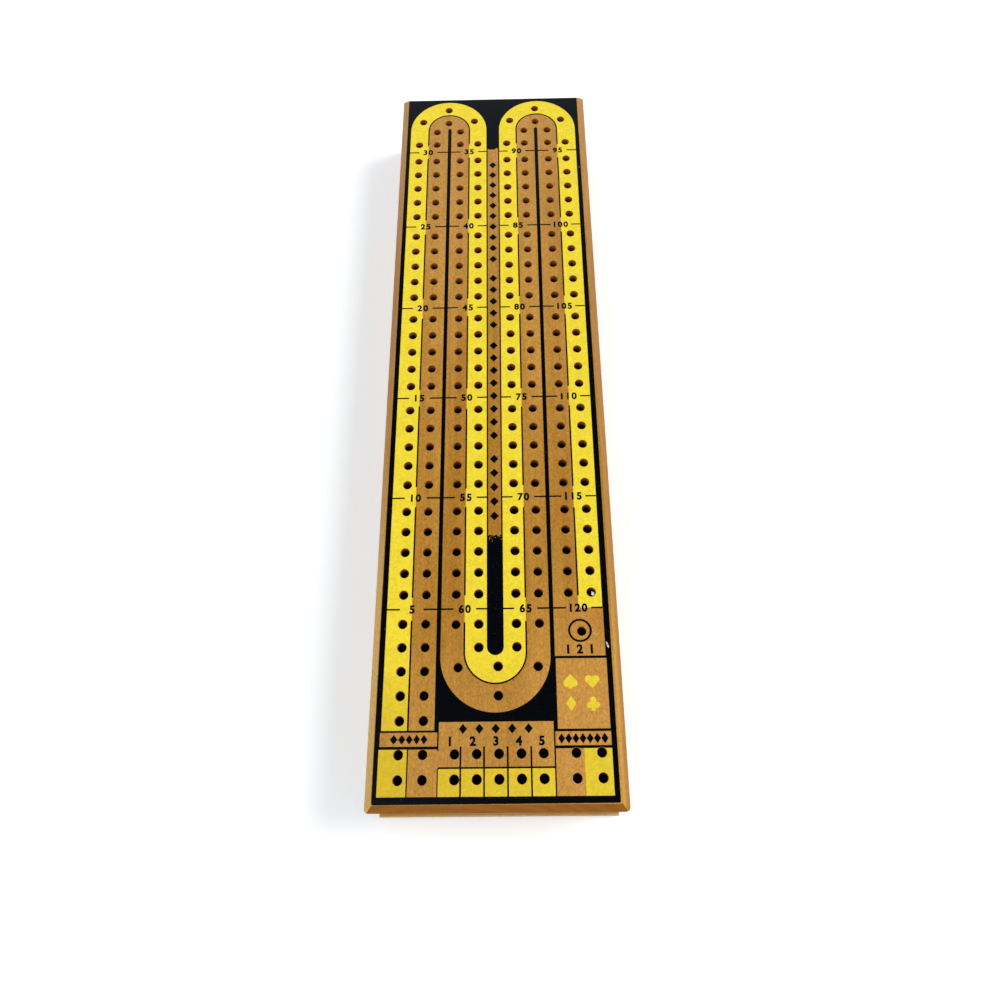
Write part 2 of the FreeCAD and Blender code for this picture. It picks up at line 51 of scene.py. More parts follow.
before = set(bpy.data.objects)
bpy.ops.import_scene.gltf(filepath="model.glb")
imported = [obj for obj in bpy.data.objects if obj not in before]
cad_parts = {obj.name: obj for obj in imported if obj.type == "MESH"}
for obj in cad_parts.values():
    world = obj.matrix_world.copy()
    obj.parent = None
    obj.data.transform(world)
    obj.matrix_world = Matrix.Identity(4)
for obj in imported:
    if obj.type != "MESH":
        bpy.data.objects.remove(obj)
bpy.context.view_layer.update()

MM = 0.001
BOARD_LOW, BOARD_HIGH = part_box("top_board")
AXIS_X = Vector((1, 0, 0))
AXIS_Y = Vector((0, 1, 0))
ALONG = (0.0, 0.0, 0.0)
ACROSS = (0.0, 0.0, math.radians(90))
EVERYWHERE = (-200, -190)  # a tone's start and end, in mm, that make it full on the whole board


def linear(hexadecimal):
    """An sRGB colour such as "C48E4E" as linear red, green, blue and alpha."""
    shares = [int(hexadecimal[i : i + 2], 16) / 255 for i in (0, 2, 4)]
    return tuple(s / 12.92 if s <= 0.04045 else ((s + 0.055) / 1.055) ** 2.4 for s in shares) + (1.0,)


def shaded(colour, share):
    """A linear colour at a share of its strength."""
    return tuple(channel * share for channel in colour[:3]) + (1.0,)


# Sizes and colours


def length(name, description, size):
    """A length setting; its default is in millimetres."""
    return FloatProperty(name=name, description=description, default=size * MM, unit="LENGTH")


def tint(name, description, hexadecimal):
    """A colour setting; its default is an sRGB colour."""
    value = linear(hexadecimal)
    return FloatVectorProperty(name=name, description=description, default=value, size=4, subtype="COLOR")


class BoardSettings(bpy.types.PropertyGroup):
    """The drilled board and the edges of every wooden piece."""

    edge_round: length("Edge round", "Sanded round on the edges of the board", 0.22)
    hole_flare: length("Hole flare", "Broken rim round each peg hole", 0.07)
    drill_point: length("Drill point", "Cone that the drill leaves below a hole", 0.6)
    hole_sides: IntProperty(name="Hole sides", description="Flats round each peg hole", default=28, min=8)
    arris: length("Arris", "Sanded round on the case and the drawer", 0.35)
    corner_round: length("Corner round", "Round on the board's upright corners", 1.4)
    swell_left: length("Left swell", "How far the wood has swollen at the left", 0.68)
    swell_right: length("Right swell", "How far the wood has swollen at the right", 0.33)
    swell_taper: FloatProperty(
        name="Swell taper",
        description="Growth of the swelling for each metre towards the front",
        default=0.003,
    )


class PrintSettings(bpy.types.PropertyGroup):
    """The two screen-printed inks on the playing face."""

    shift: length("Shift", "Print's middle to the board's middle", -0.35)
    film: length("Ink film", "How proud the black ink stands", 0.045)
    figure_height: length("Figure height", "Height of the printed numbers", 2.85)
    line: length("Line", "Width of the thin black lines", 0.55)
    black: tint("Black ink", "Colour of the ground", "030304")
    yellow: tint("Yellow ink", "Colour of four of the lanes", "F2DC36")


class WoodSettings(bpy.types.PropertyGroup):
    """Colours of the wood."""

    light: tint("Light maple", "Pale part of the figure", "C3903E")
    dark: tint("Dark maple", "Deep part of the figure", "A97428")
    # End grain is darker than the face. Its colour is darkened further as painted shade, standing in for the
    # shade on the board's front chamfer.
    end: tint("End grain", "Maple cut across", "945A0A")
    raw: tint("Drawer maple", "Unlacquered boards of the drawer", "D9B381")
    hardboard: tint("Hardboard", "Bottom panel and drawer floor", "8A6236")


class StageSettings(bpy.types.PropertyGroup):
    """Camera and table."""

    camera_place: FloatVectorProperty(
        name="Camera",
        description="Place of the camera",
        default=(0.00569, -0.15291, 0.29206),
        subtype="TRANSLATION",
    )
    camera_turn: FloatVectorProperty(
        name="Camera turn",
        description="Rotation of the camera",
        default=[math.radians(angle) for angle in (21.98, 1.061, -0.420)],
        subtype="EULER",
    )
    lens: FloatProperty(
        name="Lens", description="Focal length in millimetres", default=27.93, subtype="DISTANCE_CAMERA"
    )
    table: tint("Table", "Colour of the table", "F8F8F7")


# Nodes


def set_inputs(node, inputs):
    """Gives inputs, by name or number, their values or links. A node stands for its first output in use."""
    for key, value in inputs.items():
        if isinstance(value, bpy.types.Node):
            value = next(output for output in value.outputs if output.enabled)
        if isinstance(value, bpy.types.NodeSocket):
            node.id_data.links.new(value, node.inputs[key])
        else:
            node.inputs[key].default_value = value


def add_node(tree, kind, inputs=None, **settings):
    """Adds a node with its settings, values and links; a kind without the word Node is a shader node."""
    node = tree.nodes.new(kind if "Node" in kind else f"ShaderNode{kind}")
    for name, value in settings.items():
        setattr(node, name, value)
    set_inputs(node, inputs or {})
    return node


def new_material(name):
    """A material without nodes: gives it, the function that adds its nodes, and its place on the object."""
    material = bpy.data.materials.new(name)
    material.use_nodes = True
    material.node_tree.nodes.clear()
    add = partial(add_node, material.node_tree)
    return material, add, add("TexCoord").outputs["Object"]


def finish_material(material, surface, relief=None, strength=0.0, depth=0.0):
    """Adds the surface shader with its inputs, the relief that a pattern gives it, and the output."""
    add = partial(add_node, material.node_tree)
    if relief:
        surface["Normal"] = add("Bump", {"Height": relief, "Strength": strength, "Distance": depth})
    add("OutputMaterial", {"Surface": add("BsdfPrincipled", surface)})
    return material


def drawn_out(add, place, stretch, size, detail, roughness=0.5, distortion=0.0):
    """A noise whose spots have the given size, drawn out along the axes where stretch is below 1."""
    inputs = {"Vector": add("Mapping", {"Vector": place, "Scale": stretch}), "Scale": 1 / size}
    inputs |= {"Detail": detail, "Roughness": roughness, "Distortion": distortion}
    return add("TexNoise", inputs)


def blended(add, pattern, start, full, colour, other, most=1.0):
    """Mixes another colour in where a pattern rises from start to full, there with the share most."""
    mask = add("MapRange", {"Value": pattern, "From Min": start, "From Max": full, "To Max": most})
    return add("Mix", {0: mask, 6: colour, 7: other}, data_type="RGBA")


def toned(add, place, colour, tone, share, across, along):
    """Mixes a tone into a colour; across and along are the x and y, in mm, where it starts and is full."""
    parts = add("SeparateXYZ", {0: place})
    for axis, (start, full) in enumerate((across, along)):
        ends = {"From Min": start * MM, "From Max": full * MM}
        mask = add("MapRange", {"Value": parts.outputs[axis]} | ends, interpolation_type="SMOOTHSTEP")
        share = add("Math", {0: mask, 1: share}, operation="MULTIPLY")
    return add("Mix", {0: share, 6: colour, 7: tone}, data_type="RGBA")


def mottled(add, noise, colour, depth):
    """Makes a colour lighter and darker with a noise, by up to depth of its strength each way."""
    ends = {"From Min": 0.3, "From Max": 0.7, "To Min": 1 - depth, "To Max": 1 + depth}
    light = add("MapRange", {"Value": noise} | ends)
    return add("VectorMath", {0: colour, "Scale": light}, operation="SCALE")


# Lacquered maple, sawn and planed: close-grained pale wood that the lacquer turns amber. The eye gets
# fine streaks along the board, short brown flecks, a fine grit, broad soft bands and a satin sheen.
def maple(name, light, dark, turn=ALONG, shift=(0, 0, 0), lacquer=0.15, roughness=0.42, painted_light_and_tones=(), grit=0.12):
    streak_width = 0.9 * MM
    fleck_width = 0.35 * MM
    band_width = 9.0 * MM
    grit_width = 0.6 * MM
    material, add, place = new_material(name)
    board = add("Mapping", {"Vector": place, "Rotation": turn, "Location": shift})
    bands = drawn_out(add, board, (1, 0.07, 1), band_width, 3.0, distortion=0.6)
    streaks = drawn_out(add, board, (1, 0.07, 1), streak_width, 4.0, 0.65)
    flecks = drawn_out(add, board, (1, 0.3, 1), fleck_width, 2.0, 0.6)
    grains = drawn_out(add, board, (1, 0.6, 1), grit_width, 2.0, 0.7)
    figure = add("Math", {0: streaks, 1: 0.55, 2: bands}, operation="MULTIPLY_ADD")
    colour = blended(add, figure, 0.6, 0.95, light, dark)
    # Mixes in each tone over its region. For the board these hold a painted reflection and a painted sheen,
    # and for its edges a painted highlight.
    for pale, share, across, along in painted_light_and_tones:
        colour = toned(add, place, colour, pale, share, across, along)
    gritty = mottled(add, grains, colour, grit)
    flecked = blended(add, flecks, 0.5, 0.75, gritty, shaded(dark, 0.45), 0.36)
    ends = {"To Min": roughness - 0.08, "To Max": roughness + 0.1}
    surface = {
        "Base Color": flecked,
        "Roughness": add("MapRange", {"Value": streaks} | ends),
        "Specular IOR Level": 0.2,
        "Coat Weight": lacquer,
        "Coat Roughness": 0.15,
    }
    return finish_material(material, surface, streaks, strength=0.25, depth=0.06 * MM)


# Maple cut across the grain: the lacquer sinks into the open pores, so it goes darker and duller, with
# growth rings as soft arcs and pores as fine dots.
def maple_end(name, colour, turn=ALONG, shift=(0, 0, 0)):
    ring_spacing = 2.4 * MM
    pore = 0.3 * MM
    pith = Vector((0.018, 0.0, 0.085))
    wave_units = 2 * math.pi / 20
    material, add, place = new_material(name)
    board = add("Mapping", {"Vector": place, "Rotation": turn, "Location": pith + Vector(shift)})
    wave = {"Vector": board, "Scale": wave_units / ring_spacing}
    wave |= {"Distortion": 3.0, "Detail": 2.0, "Detail Scale": 0.6}
    rings = add("TexWave", wave, wave_type="RINGS", rings_direction="Y")
    pores = add("TexNoise", {"Vector": board, "Scale": 1 / pore, "Detail": 3.0})
    dark = shaded(colour, 0.62)
    ringed = blended(add, rings.outputs["Fac"], 0.0, 1.0, colour, dark, 0.45)
    pored = blended(add, pores, 0.5, 0.75, ringed, dark, 0.6)
    surface = {"Base Color": pored, "Roughness": 0.5, "Specular IOR Level": 0.15}
    return finish_material(material, surface, pores, strength=0.3, depth=0.05 * MM)


# Torn maple fibre where a knock has taken the ink off: dry, pale and dull.
def splintered_maple():
    fibre_width = 0.35 * MM
    material, add, place = new_material("splintered_maple")
    fibre = add("TexNoise", {"Vector": place, "Scale": 1 / fibre_width, "Detail": 2.0, "Roughness": 0.6})
    shade = blended(add, fibre, 0.35, 0.65, linear("9C978F"), linear("EDEBE4"))
    return finish_material(material, {"Base Color": shade, "Roughness": 0.8})


# The wall of a drilled hole: maple scorched brown by the bit below the rim, going almost black
# further down as painted shade deep in the hole, with the turns of the bit as fine uneven bands.
def scorched_maple():
    darkening_start = 1.1 * MM
    darkening_full = 3.9 * MM
    turn_height = 0.9 * MM
    material, add, place = new_material("scorched_maple")
    bit_turns = drawn_out(add, place, (0.5, 0.5, 2.0), turn_height, 3.0)
    height = add("SeparateXYZ", {0: place}).outputs[2]
    depths = {"From Min": BOARD_HIGH.z - darkening_full, "From Max": BOARD_HIGH.z - darkening_start}
    depth = add("MapRange", {"Value": height} | depths)
    uneven = add("MapRange", {"Value": bit_turns, "From Min": 0.3, "From Max": 0.7, "To Min": 0.6})
    mask = add("Math", {0: depth, 1: uneven}, operation="MULTIPLY")
    # Painted shade: the wall goes from scorched brown near the rim to almost black deep in the hole.
    colour = add("Mix", {0: mask, 6: linear("220E04"), 7: linear("B06A2A")}, data_type="RGBA")
    surface = {"Base Color": colour, "Roughness": 0.75, "Specular IOR Level": 0.2}
    return finish_material(material, surface, bit_turns, strength=0.4, depth=0.05 * MM)


# Enamel ink pressed through a screen: an opaque, even film that still shows the grain under it, a
# little patchy and gritty, with dust specks and a soft sheen, and toned towards the front, most at the front
# left.
def screen_ink(name, colour, patch, speck, front_tone, roughness, gloss, sheen):
    patch_size = 5.0 * MM
    speck_size = 0.5 * MM
    grit_size = 0.9 * MM
    grain_width = 0.7 * MM
    left_side = (38, -42)
    material, add, place = new_material(name)
    patches = add("TexNoise", {"Vector": place, "Scale": 1 / patch_size, "Detail": 4.0, "Roughness": 0.7})
    grit = add("TexNoise", {"Vector": place, "Scale": 1 / grit_size, "Detail": 3.0, "Roughness": 0.7})
    specks = add("TexNoise", {"Vector": place, "Scale": 1 / speck_size, "Detail": 1.0})
    grain = drawn_out(add, place, (1, 0.12, 1), grain_width, 4.0)
    patched = blended(add, patches, 0.35, 0.7, colour, patch)
    # The colour shifts to a second tone towards the front, and further towards the front left.
    front_toned = toned(add, place, patched, front_tone, 0.35, EVERYWHERE, (-95, -135))
    front_left_toned = toned(add, place, front_toned, front_tone, 0.45, left_side, (-100, -140))
    specked = blended(add, specks, 0.74, 0.84, mottled(add, grit, front_left_toned, 0.12), speck, 0.8)
    surface = {
        "Base Color": specked,
        "Roughness": roughness,
        "Specular IOR Level": gloss,
        "Specular Tint": sheen,
    }
    return finish_material(material, surface, grain, strength=0.3, depth=0.05 * MM)


# Pressed hardboard: brown wood fibre set hard under heat, smooth on its face, with a fine felted mottle.
def hardboard(name, colour):
    fibre_width = 0.6 * MM
    cloud_size = 12 * MM
    material, add, place = new_material(name)
    felt = {"Vector": place, "Scale": 1 / fibre_width, "Detail": 5.0, "Roughness": 0.7, "Distortion": 1.5}
    fibre = add("TexNoise", felt)
    cloud = add("TexNoise", {"Vector": place, "Scale": 1 / cloud_size, "Detail": 2.0})
    both = add("Math", {0: cloud, 1: 0.5, 2: fibre}, operation="MULTIPLY_ADD")
    shade = blended(add, both, 0.5, 1.0, colour, shaded(colour, 0.6))
    surface = {"Base Color": shade, "Roughness": 0.55}
    return finish_material(material, surface, fibre, strength=0.3, depth=0.08 * MM)


# Bar metal turned on a lathe: bright, with fine tool lines round the axis and a thin cloudy tarnish.
def turned_metal(name, bright, tarnish, roughness):
    line_width = 0.3 * MM
    cloud_size = 3 * MM
    material, add, place = new_material(name)
    lines = drawn_out(add, place, (0.04, 1, 0.04), line_width, 1.0)
    cloud = add("TexNoise", {"Vector": place, "Scale": 1 / cloud_size, "Detail": 4.0})
    ends = {"To Min": roughness - 0.06, "To Max": roughness + 0.16}
    surface = {
        "Base Color": blended(add, cloud, 0.45, 0.75, bright, tarnish),
        "Metallic": 1.0,
        "Roughness": add("MapRange", {"Value": cloud} | ends),
    }
    return finish_material(material, surface, lines, strength=0.1, depth=0.01 * MM)


# White melamine table top: smooth and slightly satin, so the object's shadow lies soft on it. It glows a
# little for the camera and for mirror rays alone, as an overexposed white does.
def melamine(colour):
    glow = 0.26
    cloud_size = 60 * MM
    material, add, place = new_material("white_melamine")
    cloud = add("TexNoise", {"Vector": place, "Scale": 1 / cloud_size, "Detail": 3.0})
    tone = add("Mix", {0: cloud, 6: colour, 7: shaded(colour, 0.985)}, data_type="RGBA")
    ray = add("LightPath").outputs
    seen = ray["Is Camera Ray"]
    for kind in ("Is Glossy Ray", "Is Transmission Ray"):
        seen = add("Math", {0: seen, 1: ray[kind]}, operation="MAXIMUM")
    surface = {
        "Base Color": tone,
        "Roughness": 0.6,
        "Specular IOR Level": 0.2,
        "Emission Color": (0.85, 1.0, 1.15, 1.0),
        "Emission Strength": add("Math", {0: seen, 1: glow}, operation="MULTIPLY"),
    }
    return finish_material(material, surface)


# Meshes


def new_object(name, data):
    thing = bpy.data.objects.new(name, data)
    bpy.context.scene.collection.objects.link(thing)
    return thing


def make_piece(name, mesh, body, replaced=()):
    """Makes a mesh a piece that rides on its body and the nodes it stands for."""
    piece = new_object(name, mesh)
    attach(piece, body)
    if replaced:
        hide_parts(*replaced)


def evaluated_mesh(thing):
    """The plain mesh that an object and its modifiers come to; the object itself is removed."""
    bpy.context.view_layer.update()
    graph = bpy.context.evaluated_depsgraph_get()
    mesh = bpy.data.meshes.new_from_object(thing.evaluated_get(graph))
    bpy.data.objects.remove(thing)
    return mesh


def shape_of(mesh):
    shape = bmesh.new()
    shape.from_mesh(mesh)
    return shape


def smooth_shading(mesh):
    """Smooth faces, with an edge kept sharp where it turns by more than the angle."""
    sharp_angle = math.radians(35)
    shape = shape_of(mesh)
    for face in shape.faces:
        face.smooth = True
    for edge in shape.edges:
        edge.smooth = len(edge.link_faces) == 2 and edge.calc_face_angle() < sharp_angle
    shape.to_mesh(mesh)
    shape.free()


def softened(name, shape, width, shortest=3 * MM):
    """A mesh of the shape with its sharp edges rounded by width, apart from those that are too short."""
    layer = shape.edges.layers.float.new("bevel_weight_edge")
    for edge in shape.edges:
        sharp = len(edge.link_faces) == 2 and edge.calc_face_angle() > math.radians(30)
        edge[layer] = 1.0 if sharp and edge.calc_length() > shortest else 0.0
    mesh = bpy.data.meshes.new(name)
    shape.to_mesh(mesh)
    shape.free()
    thing = new_object(name, mesh)
    bevel = thing.modifiers.new("Arris", "BEVEL")
    bevel.limit_method = "WEIGHT"
    bevel.width = width
    bevel.segments = 2
    bevel.use_clamp_overlap = True
    rounded = evaluated_mesh(thing)
    smooth_shading(rounded)
    thing = new_object(name, rounded)
    thing.modifiers.new("Normals", "WEIGHTED_NORMAL").keep_sharp = True
    final = evaluated_mesh(thing)
    final.name = name
    return final


def joined_shape(node):
    """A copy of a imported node's mesh with its corners joined."""
    shape = shape_of(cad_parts[node].data)
    bmesh.ops.remove_doubles(shape, verts=shape.verts, dist=0.001 * MM)
    return shape


def islands(parts, neighbours):
    """Sorts vertices or faces, always in the same order, into those that hang together; neighbours gives
    the ones beside one of them."""
    left = dict.fromkeys(parts)
    found = []
    while left:
        island = [left.popitem()[0]]
        for part in island:
            for other in neighbours(part):
                if other in left:
                    del left[other]
                    island.append(other)
        found.append(island)
    return found


def grain_materials(mesh, direction, materials):
    """Gives faces that cut across the grain direction the second material, the end grain, if there is one."""
    mesh.materials.clear()
    for material in materials:
        mesh.materials.append(material)
    end = min(1, len(materials) - 1)
    for face in mesh.polygons:
        face.material_index = end if abs(face.normal.dot(direction)) > 0.5 else 0


# Geometry Nodes


def new_tree(name, inputs):
    """A Geometry Nodes tree with its geometry in and out and the named inputs: gives the tree, the
    function that adds its nodes, and the outputs of its input node."""
    tree = bpy.data.node_groups.new(name, "GeometryNodeTree")
    for label, kind in [("Geometry", "Geometry")] + inputs:
        tree.interface.new_socket(label, in_out="INPUT", socket_type=f"NodeSocket{kind}")
    tree.interface.new_socket("Geometry", in_out="OUTPUT", socket_type="NodeSocketGeometry")
    add = partial(add_node, tree)
    return tree, add, add("NodeGroupInput").outputs


def finish_tree(add, geometry, material):
    """Makes the geometry real, gives it its material and passes it to the tree's output."""
    whole = add("GeometryNodeRealizeInstances", {"Geometry": geometry})
    coated = add("GeometryNodeSetMaterial", {"Geometry": whole, "Material": material})
    add("NodeGroupOutput", {"Geometry": coated})


def run_tree(thing, tree, values):
    """Runs a tree on an object with its inputs set, and gives the plain mesh."""
    modifier = thing.modifiers.new(tree.name, "NODES")
    modifier.node_group = tree
    for item in tree.interface.items_tree:
        if item.in_out == "INPUT" and item.name in values:
            modifier[item.identifier] = values[item.name]
    return evaluated_mesh(thing)


def turned(add, sides, stations):
    """A closed shape turned about Z: each station is a radius and a height, as numbers, sockets or nodes."""
    steps = len(stations) - 1
    sizes = {"Vertices": sides, "Side Segments": steps, "Radius": 1.0, "Depth": float(steps)}
    tube = add("GeometryNodeMeshCylinder", sizes, fill_type="TRIANGLE_FAN")
    parts = add("SeparateXYZ", {0: add("GeometryNodeInputPosition")}).outputs
    count = add("Math", {0: parts[2], 1: steps / 2}, operation="ADD")
    ring = add("FunctionNodeFloatToInt", {0: count}, rounding_mode="ROUND")
    looked_up = []
    for column in (0, 1):
        switch = add("GeometryNodeIndexSwitch", data_type="FLOAT")
        while len(switch.index_switch_items) < len(stations):
            switch.index_switch_items.new()
        values = {i + 1: station[column] for i, station in enumerate(stations)}
        set_inputs(switch, {"Index": ring} | values)
        looked_up.append(switch)
    radius, height = looked_up
    across = add("Math", {0: parts[0], 1: radius}, operation="MULTIPLY")
    along = add("Math", {0: parts[1], 1: radius}, operation="MULTIPLY")
    target = add("CombineXYZ", {0: across, 1: along, 2: height})
    shaped = add("GeometryNodeSetPosition", {"Geometry": tube, "Position": target})
    return add("GeometryNodeMergeByDistance", {"Geometry": shaped, "Distance": 0.002 * MM})


def drilling_tree():
    """Drills a blind hole at each point of the object Holes."""
    inputs = [(name, "Float") for name in ("Radius", "Depth", "Flare", "Point")]
    inputs += [("Holes", "Object"), ("Sides", "Int"), ("Material", "Material")]
    tree, add, given = new_tree("drill_holes", inputs)
    radius, flare = given["Radius"], given["Flare"]
    wide = add("Math", {0: radius, 1: flare}, operation="ADD")
    widest = add("Math", {0: wide, 1: flare}, operation="ADD")
    floor = add("Math", {0: 0.0, 1: given["Depth"]}, operation="SUBTRACT")
    point = add("Math", {0: floor, 1: given["Point"]}, operation="SUBTRACT")
    below = add("Math", {0: 0.0, 1: flare}, operation="SUBTRACT")
    stations = [(0.0, point), (radius, floor), (radius, below), (wide, 0.0), (widest, flare)]
    spots = add("GeometryNodeObjectInfo", {"Object": given["Holes"]}).outputs["Geometry"]
    bit = turned(add, given["Sides"], stations)
    bits = add("GeometryNodeInstanceOnPoints", {"Points": spots, "Instance": bit})
    solids = {"Mesh 1": given["Geometry"], "Mesh 2": add("GeometryNodeRealizeInstances", {"Geometry": bits})}
    drilled = add("GeometryNodeMeshBoolean", solids, operation="DIFFERENCE", solver="MANIFOLD")
    finish_tree(add, drilled, given["Material"])
    return tree


def turning_tree(name, stations, sides):
    """Sets a turned shape at each point, its Z along the point's direction; stations are in millimetres."""
    tree, add, given = new_tree(name, [("Scale", "Float"), ("Material", "Material")])
    direction = add("GeometryNodeInputNamedAttribute", {"Name": "direction"}, data_type="FLOAT_VECTOR")
    placed = {
        "Points": given["Geometry"],
        "Instance": turned(add, sides, stations),
        "Rotation": add("FunctionNodeAlignRotationToVector", {"Vector": direction}, axis="Z"),
        "Scale": given["Scale"],
    }
    finish_tree(add, add("GeometryNodeInstanceOnPoints", placed), given["Material"])
    return tree


def points_object(name, places, directions=()):
    """Loose points, each with the direction in which its piece is set."""
    mesh = bpy.data.meshes.new(name)
    mesh.from_pydata(places, [], [])
    if directions:
        layer = mesh.attributes.new("direction", "FLOAT_VECTOR", "POINT")
        for item, direction in zip(layer.data, directions):
            item.vector = direction
    return new_object(name, mesh)


# The drilled board


def hole_centres():
    """The middle of each hole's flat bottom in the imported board, and the holes' radius and depth."""
    shape = joined_shape("top_board")
    inside = [
        face
        for face in shape.faces
        if face.normal.z > 0.99 and BOARD_LOW.z + MM < face.calc_center_median().z < BOARD_HIGH.z - MM
    ]
    centres = []
    for island in islands(inside, lambda face: [other for edge in face.edges for other in edge.link_faces]):
        corners = [vertex.co for face in island for vertex in face.verts]
        low = Vector(min(corner[axis] for corner in corners) for axis in range(3))
        high = Vector(max(corner[axis] for corner in corners) for axis in range(3))
        centres.append((low + high) / 2)
    radius = (high.x - low.x) / 2
    depth = BOARD_HIGH.z - centres[0].z
    shape.free()
    centres.sort(key=lambda place: (round(place.y, 5), place.x))
    return centres, radius, depth


def chamfer_size():
    """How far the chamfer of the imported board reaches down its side."""
    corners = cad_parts["top_board"].data.vertices
    return BOARD_HIGH.z - max(v.co.z for v in corners if v.co.x > BOARD_HIGH.x - 0.001 * MM)


HOLES, HOLE_RADIUS, HOLE_DEPTH = hole_centres()
CHAMFER = chamfer_size()


def swollen(x, y):
    """How far out a point on the board's or a rail's side has moved: most at the front, more at the left."""
    sizes = bpy.context.scene.cribbage_board
    swell = sizes.swell_left if x < 0 else sizes.swell_right
    return x + math.copysign(swell - sizes.swell_taper * y, x)


def board_ring(shape, inset, height, corner_round):
    """One closed outline of the board with round corners, as new vertices from the left front corner on."""
    steps = 4
    ring = []
    for side, end, start in ((-1, -1, 180), (1, -1, 270), (1, 1, 0), (-1, 1, 90)):
        x = (BOARD_HIGH.x if side > 0 else -BOARD_LOW.x) - inset - corner_round
        y = (BOARD_HIGH.y if end > 0 else BOARD_LOW.y) - end * (inset + corner_round)
        for across, along in arc(side * x, y, corner_round, start, start + 90, steps):
            ring.append(shape.verts.new((swollen(across, along), along, height)))
    return ring


def board_blank(sizes):
    """The chamfered board before it is drilled."""
    shape = bmesh.new()
    rings = [
        board_ring(shape, 0, BOARD_LOW.z, sizes.corner_round),
        board_ring(shape, 0, BOARD_HIGH.z - CHAMFER, sizes.corner_round),
        board_ring(shape, CHAMFER, BOARD_HIGH.z, sizes.corner_round * 0.25),
    ]
    for low, high in zip(rings, rings[1:]):
        for i, corner in enumerate(low):
            following = (i + 1) % len(low)
            shape.faces.new((corner, low[following], high[following], high[i]))
    shape.faces.new(rings[-1])
    shape.faces.new(list(reversed(rings[0])))
    return softened("board_blank", shape, sizes.edge_round, 0.1 * MM)


class CRIBBAGE_OT_board(bpy.types.Operator):
    """Make the chamfered board and drill its peg holes"""

    bl_idname = "cribbage.board"
    bl_label = "Pegging board"

    def execute(self, context):
        sizes = context.scene.cribbage_board
        wood = context.scene.cribbage_wood
        # Broad tones on the board's face. The first, paler and bluer towards the back, is a painted
        # reflection of window light. The second, lighter at the right front, is a painted sheen. The third
        # darkens the front part and the fourth lightens the very front.
        # each tone's colour and share, and the x and y, in mm, where it starts and where it is full
        painted_light_and_tones = [
            (linear("C79450"), 0.45, EVERYWHERE, (0, 150)),
            (linear("E6A955"), 0.55, (0, 30), (-60, -115)),
            (linear("A9700F"), 0.3, EVERYWHERE, (30, -60)),
            (linear("DCA85E"), 0.18, EVERYWHERE, (-90, -125)),
        ]
        # Tones on the board's sides and chamfers. The first, lighter on the right chamfer next to the black
        # towards the front, is a painted highlight. The second makes the left side lighter towards the front.
        edge_highlight_and_tone = [
            (linear("C6993B"), 0.9, (41.4, 39.8), (-40, -120)),
            (linear("CFA75A"), 0.85, (0, -30), (-20, -90)),
        ]
        along = maple("lacquered_maple_board", wood.light, wood.dark, painted_light_and_tones=painted_light_and_tones, grit=0.22)
        end = maple_end("lacquered_maple_board_end", wood.end)
        edge = maple("lacquered_maple_board_edge", linear("B5812A"), linear("9E681A"), painted_light_and_tones=edge_highlight_and_tone)
        spots = points_object("hole_points", [(p.x, p.y, BOARD_HIGH.z) for p in HOLES])
        values = {"Holes": spots, "Radius": HOLE_RADIUS, "Depth": HOLE_DEPTH, "Flare": sizes.hole_flare}
        values |= {"Point": sizes.drill_point, "Sides": sizes.hole_sides, "Material": along}
        mesh = run_tree(new_object("peg_board_blank", board_blank(sizes)), drilling_tree(), values)
        bpy.data.objects.remove(spots)
        mesh.name = "peg_board"
        grain_materials(mesh, AXIS_Y, [along, end, scorched_maple(), edge])
        wall, side = 2, 3
        margin = CHAMFER + 0.5 * MM
        half_width = BOARD_HIGH.x - margin
        half_length = (BOARD_HIGH.y - BOARD_LOW.y) / 2 - margin
        middle = (BOARD_HIGH.y + BOARD_LOW.y) / 2
        for face in mesh.polygons:
            centre = face.center
            inside = abs(centre.x) < half_width and abs(centre.y - middle) < half_length
            if inside and BOARD_LOW.z + 0.1 * MM < centre.z < BOARD_HIGH.z - 1.1 * sizes.hole_flare:
                face.material_index = wall
            elif abs(face.normal.x) > 0.3:
                face.material_index = side
        smooth_shading(mesh)
        make_piece("peg_board", mesh, "case", ["top_board"])
        return {"FINISHED"}


# The print. Its shapes are laid on one another in the order they are printed, so the last one that
# covers a spot gives it its ink, and "bare" leaves the wood. Sizes are in millimetres.

HALF_STRIP = 2.85
INNER_LINE = 10.5
SLIT = 19.3
HALF_SLIT = 0.72
OUTER_LINE = 28.7
TRACK_EDGE = 36.75
GROUND_FRONT = (-38.72, 38.96)
GROUND_BACK = (-38.33, 38.35)
GROUND_SKEW = 0.17
ARCH_CENTRE = 132.95
ARCH_MIDDLE = (TRACK_EDGE + HALF_STRIP) / 2
SLIT_TOP = 133.9
BEND_CENTRE = -102.4
OUTER_BEND_CENTRE = -103.7
FIRST_FIGURES = 120.1
FIGURE_STEP = 41.52
LAST_FIGURES = FIRST_FIGURES - 5 * FIGURE_STEP
STRIP_TOP = 121.5
STRIP_BOTTOM = -60.8
LANES_END = -127.8
CELLS_TOP = -133.65
CELLS_BOTTOM = -148.02
COUNTER_TOP = -125.15
COUNTER_LINE = -139.4
PANEL_EDGE = 36.9
PANEL_TOP = -104.8
RING_ROW = -95.4


def rectangle(left, right, low, high):
    return [(left, low), (right, low), (right, high), (left, high)]


def arc(x, y, radius, start, end, steps=40):
    """Points along an arc, its ends in degrees."""
    angles = [math.radians(start + (end - start) * i / steps) for i in range(steps + 1)]
    return [(x + radius * math.cos(a), y + radius * math.sin(a)) for a in angles]


def disc(x, y, radius, steps=40):
    return arc(x, y, radius, 0, 360, steps)[:-1]


def inner_arch():
    return arc((INNER_LINE + OUTER_LINE) / 2, ARCH_CENTRE, (OUTER_LINE - INNER_LINE) / 2, 0, 180)


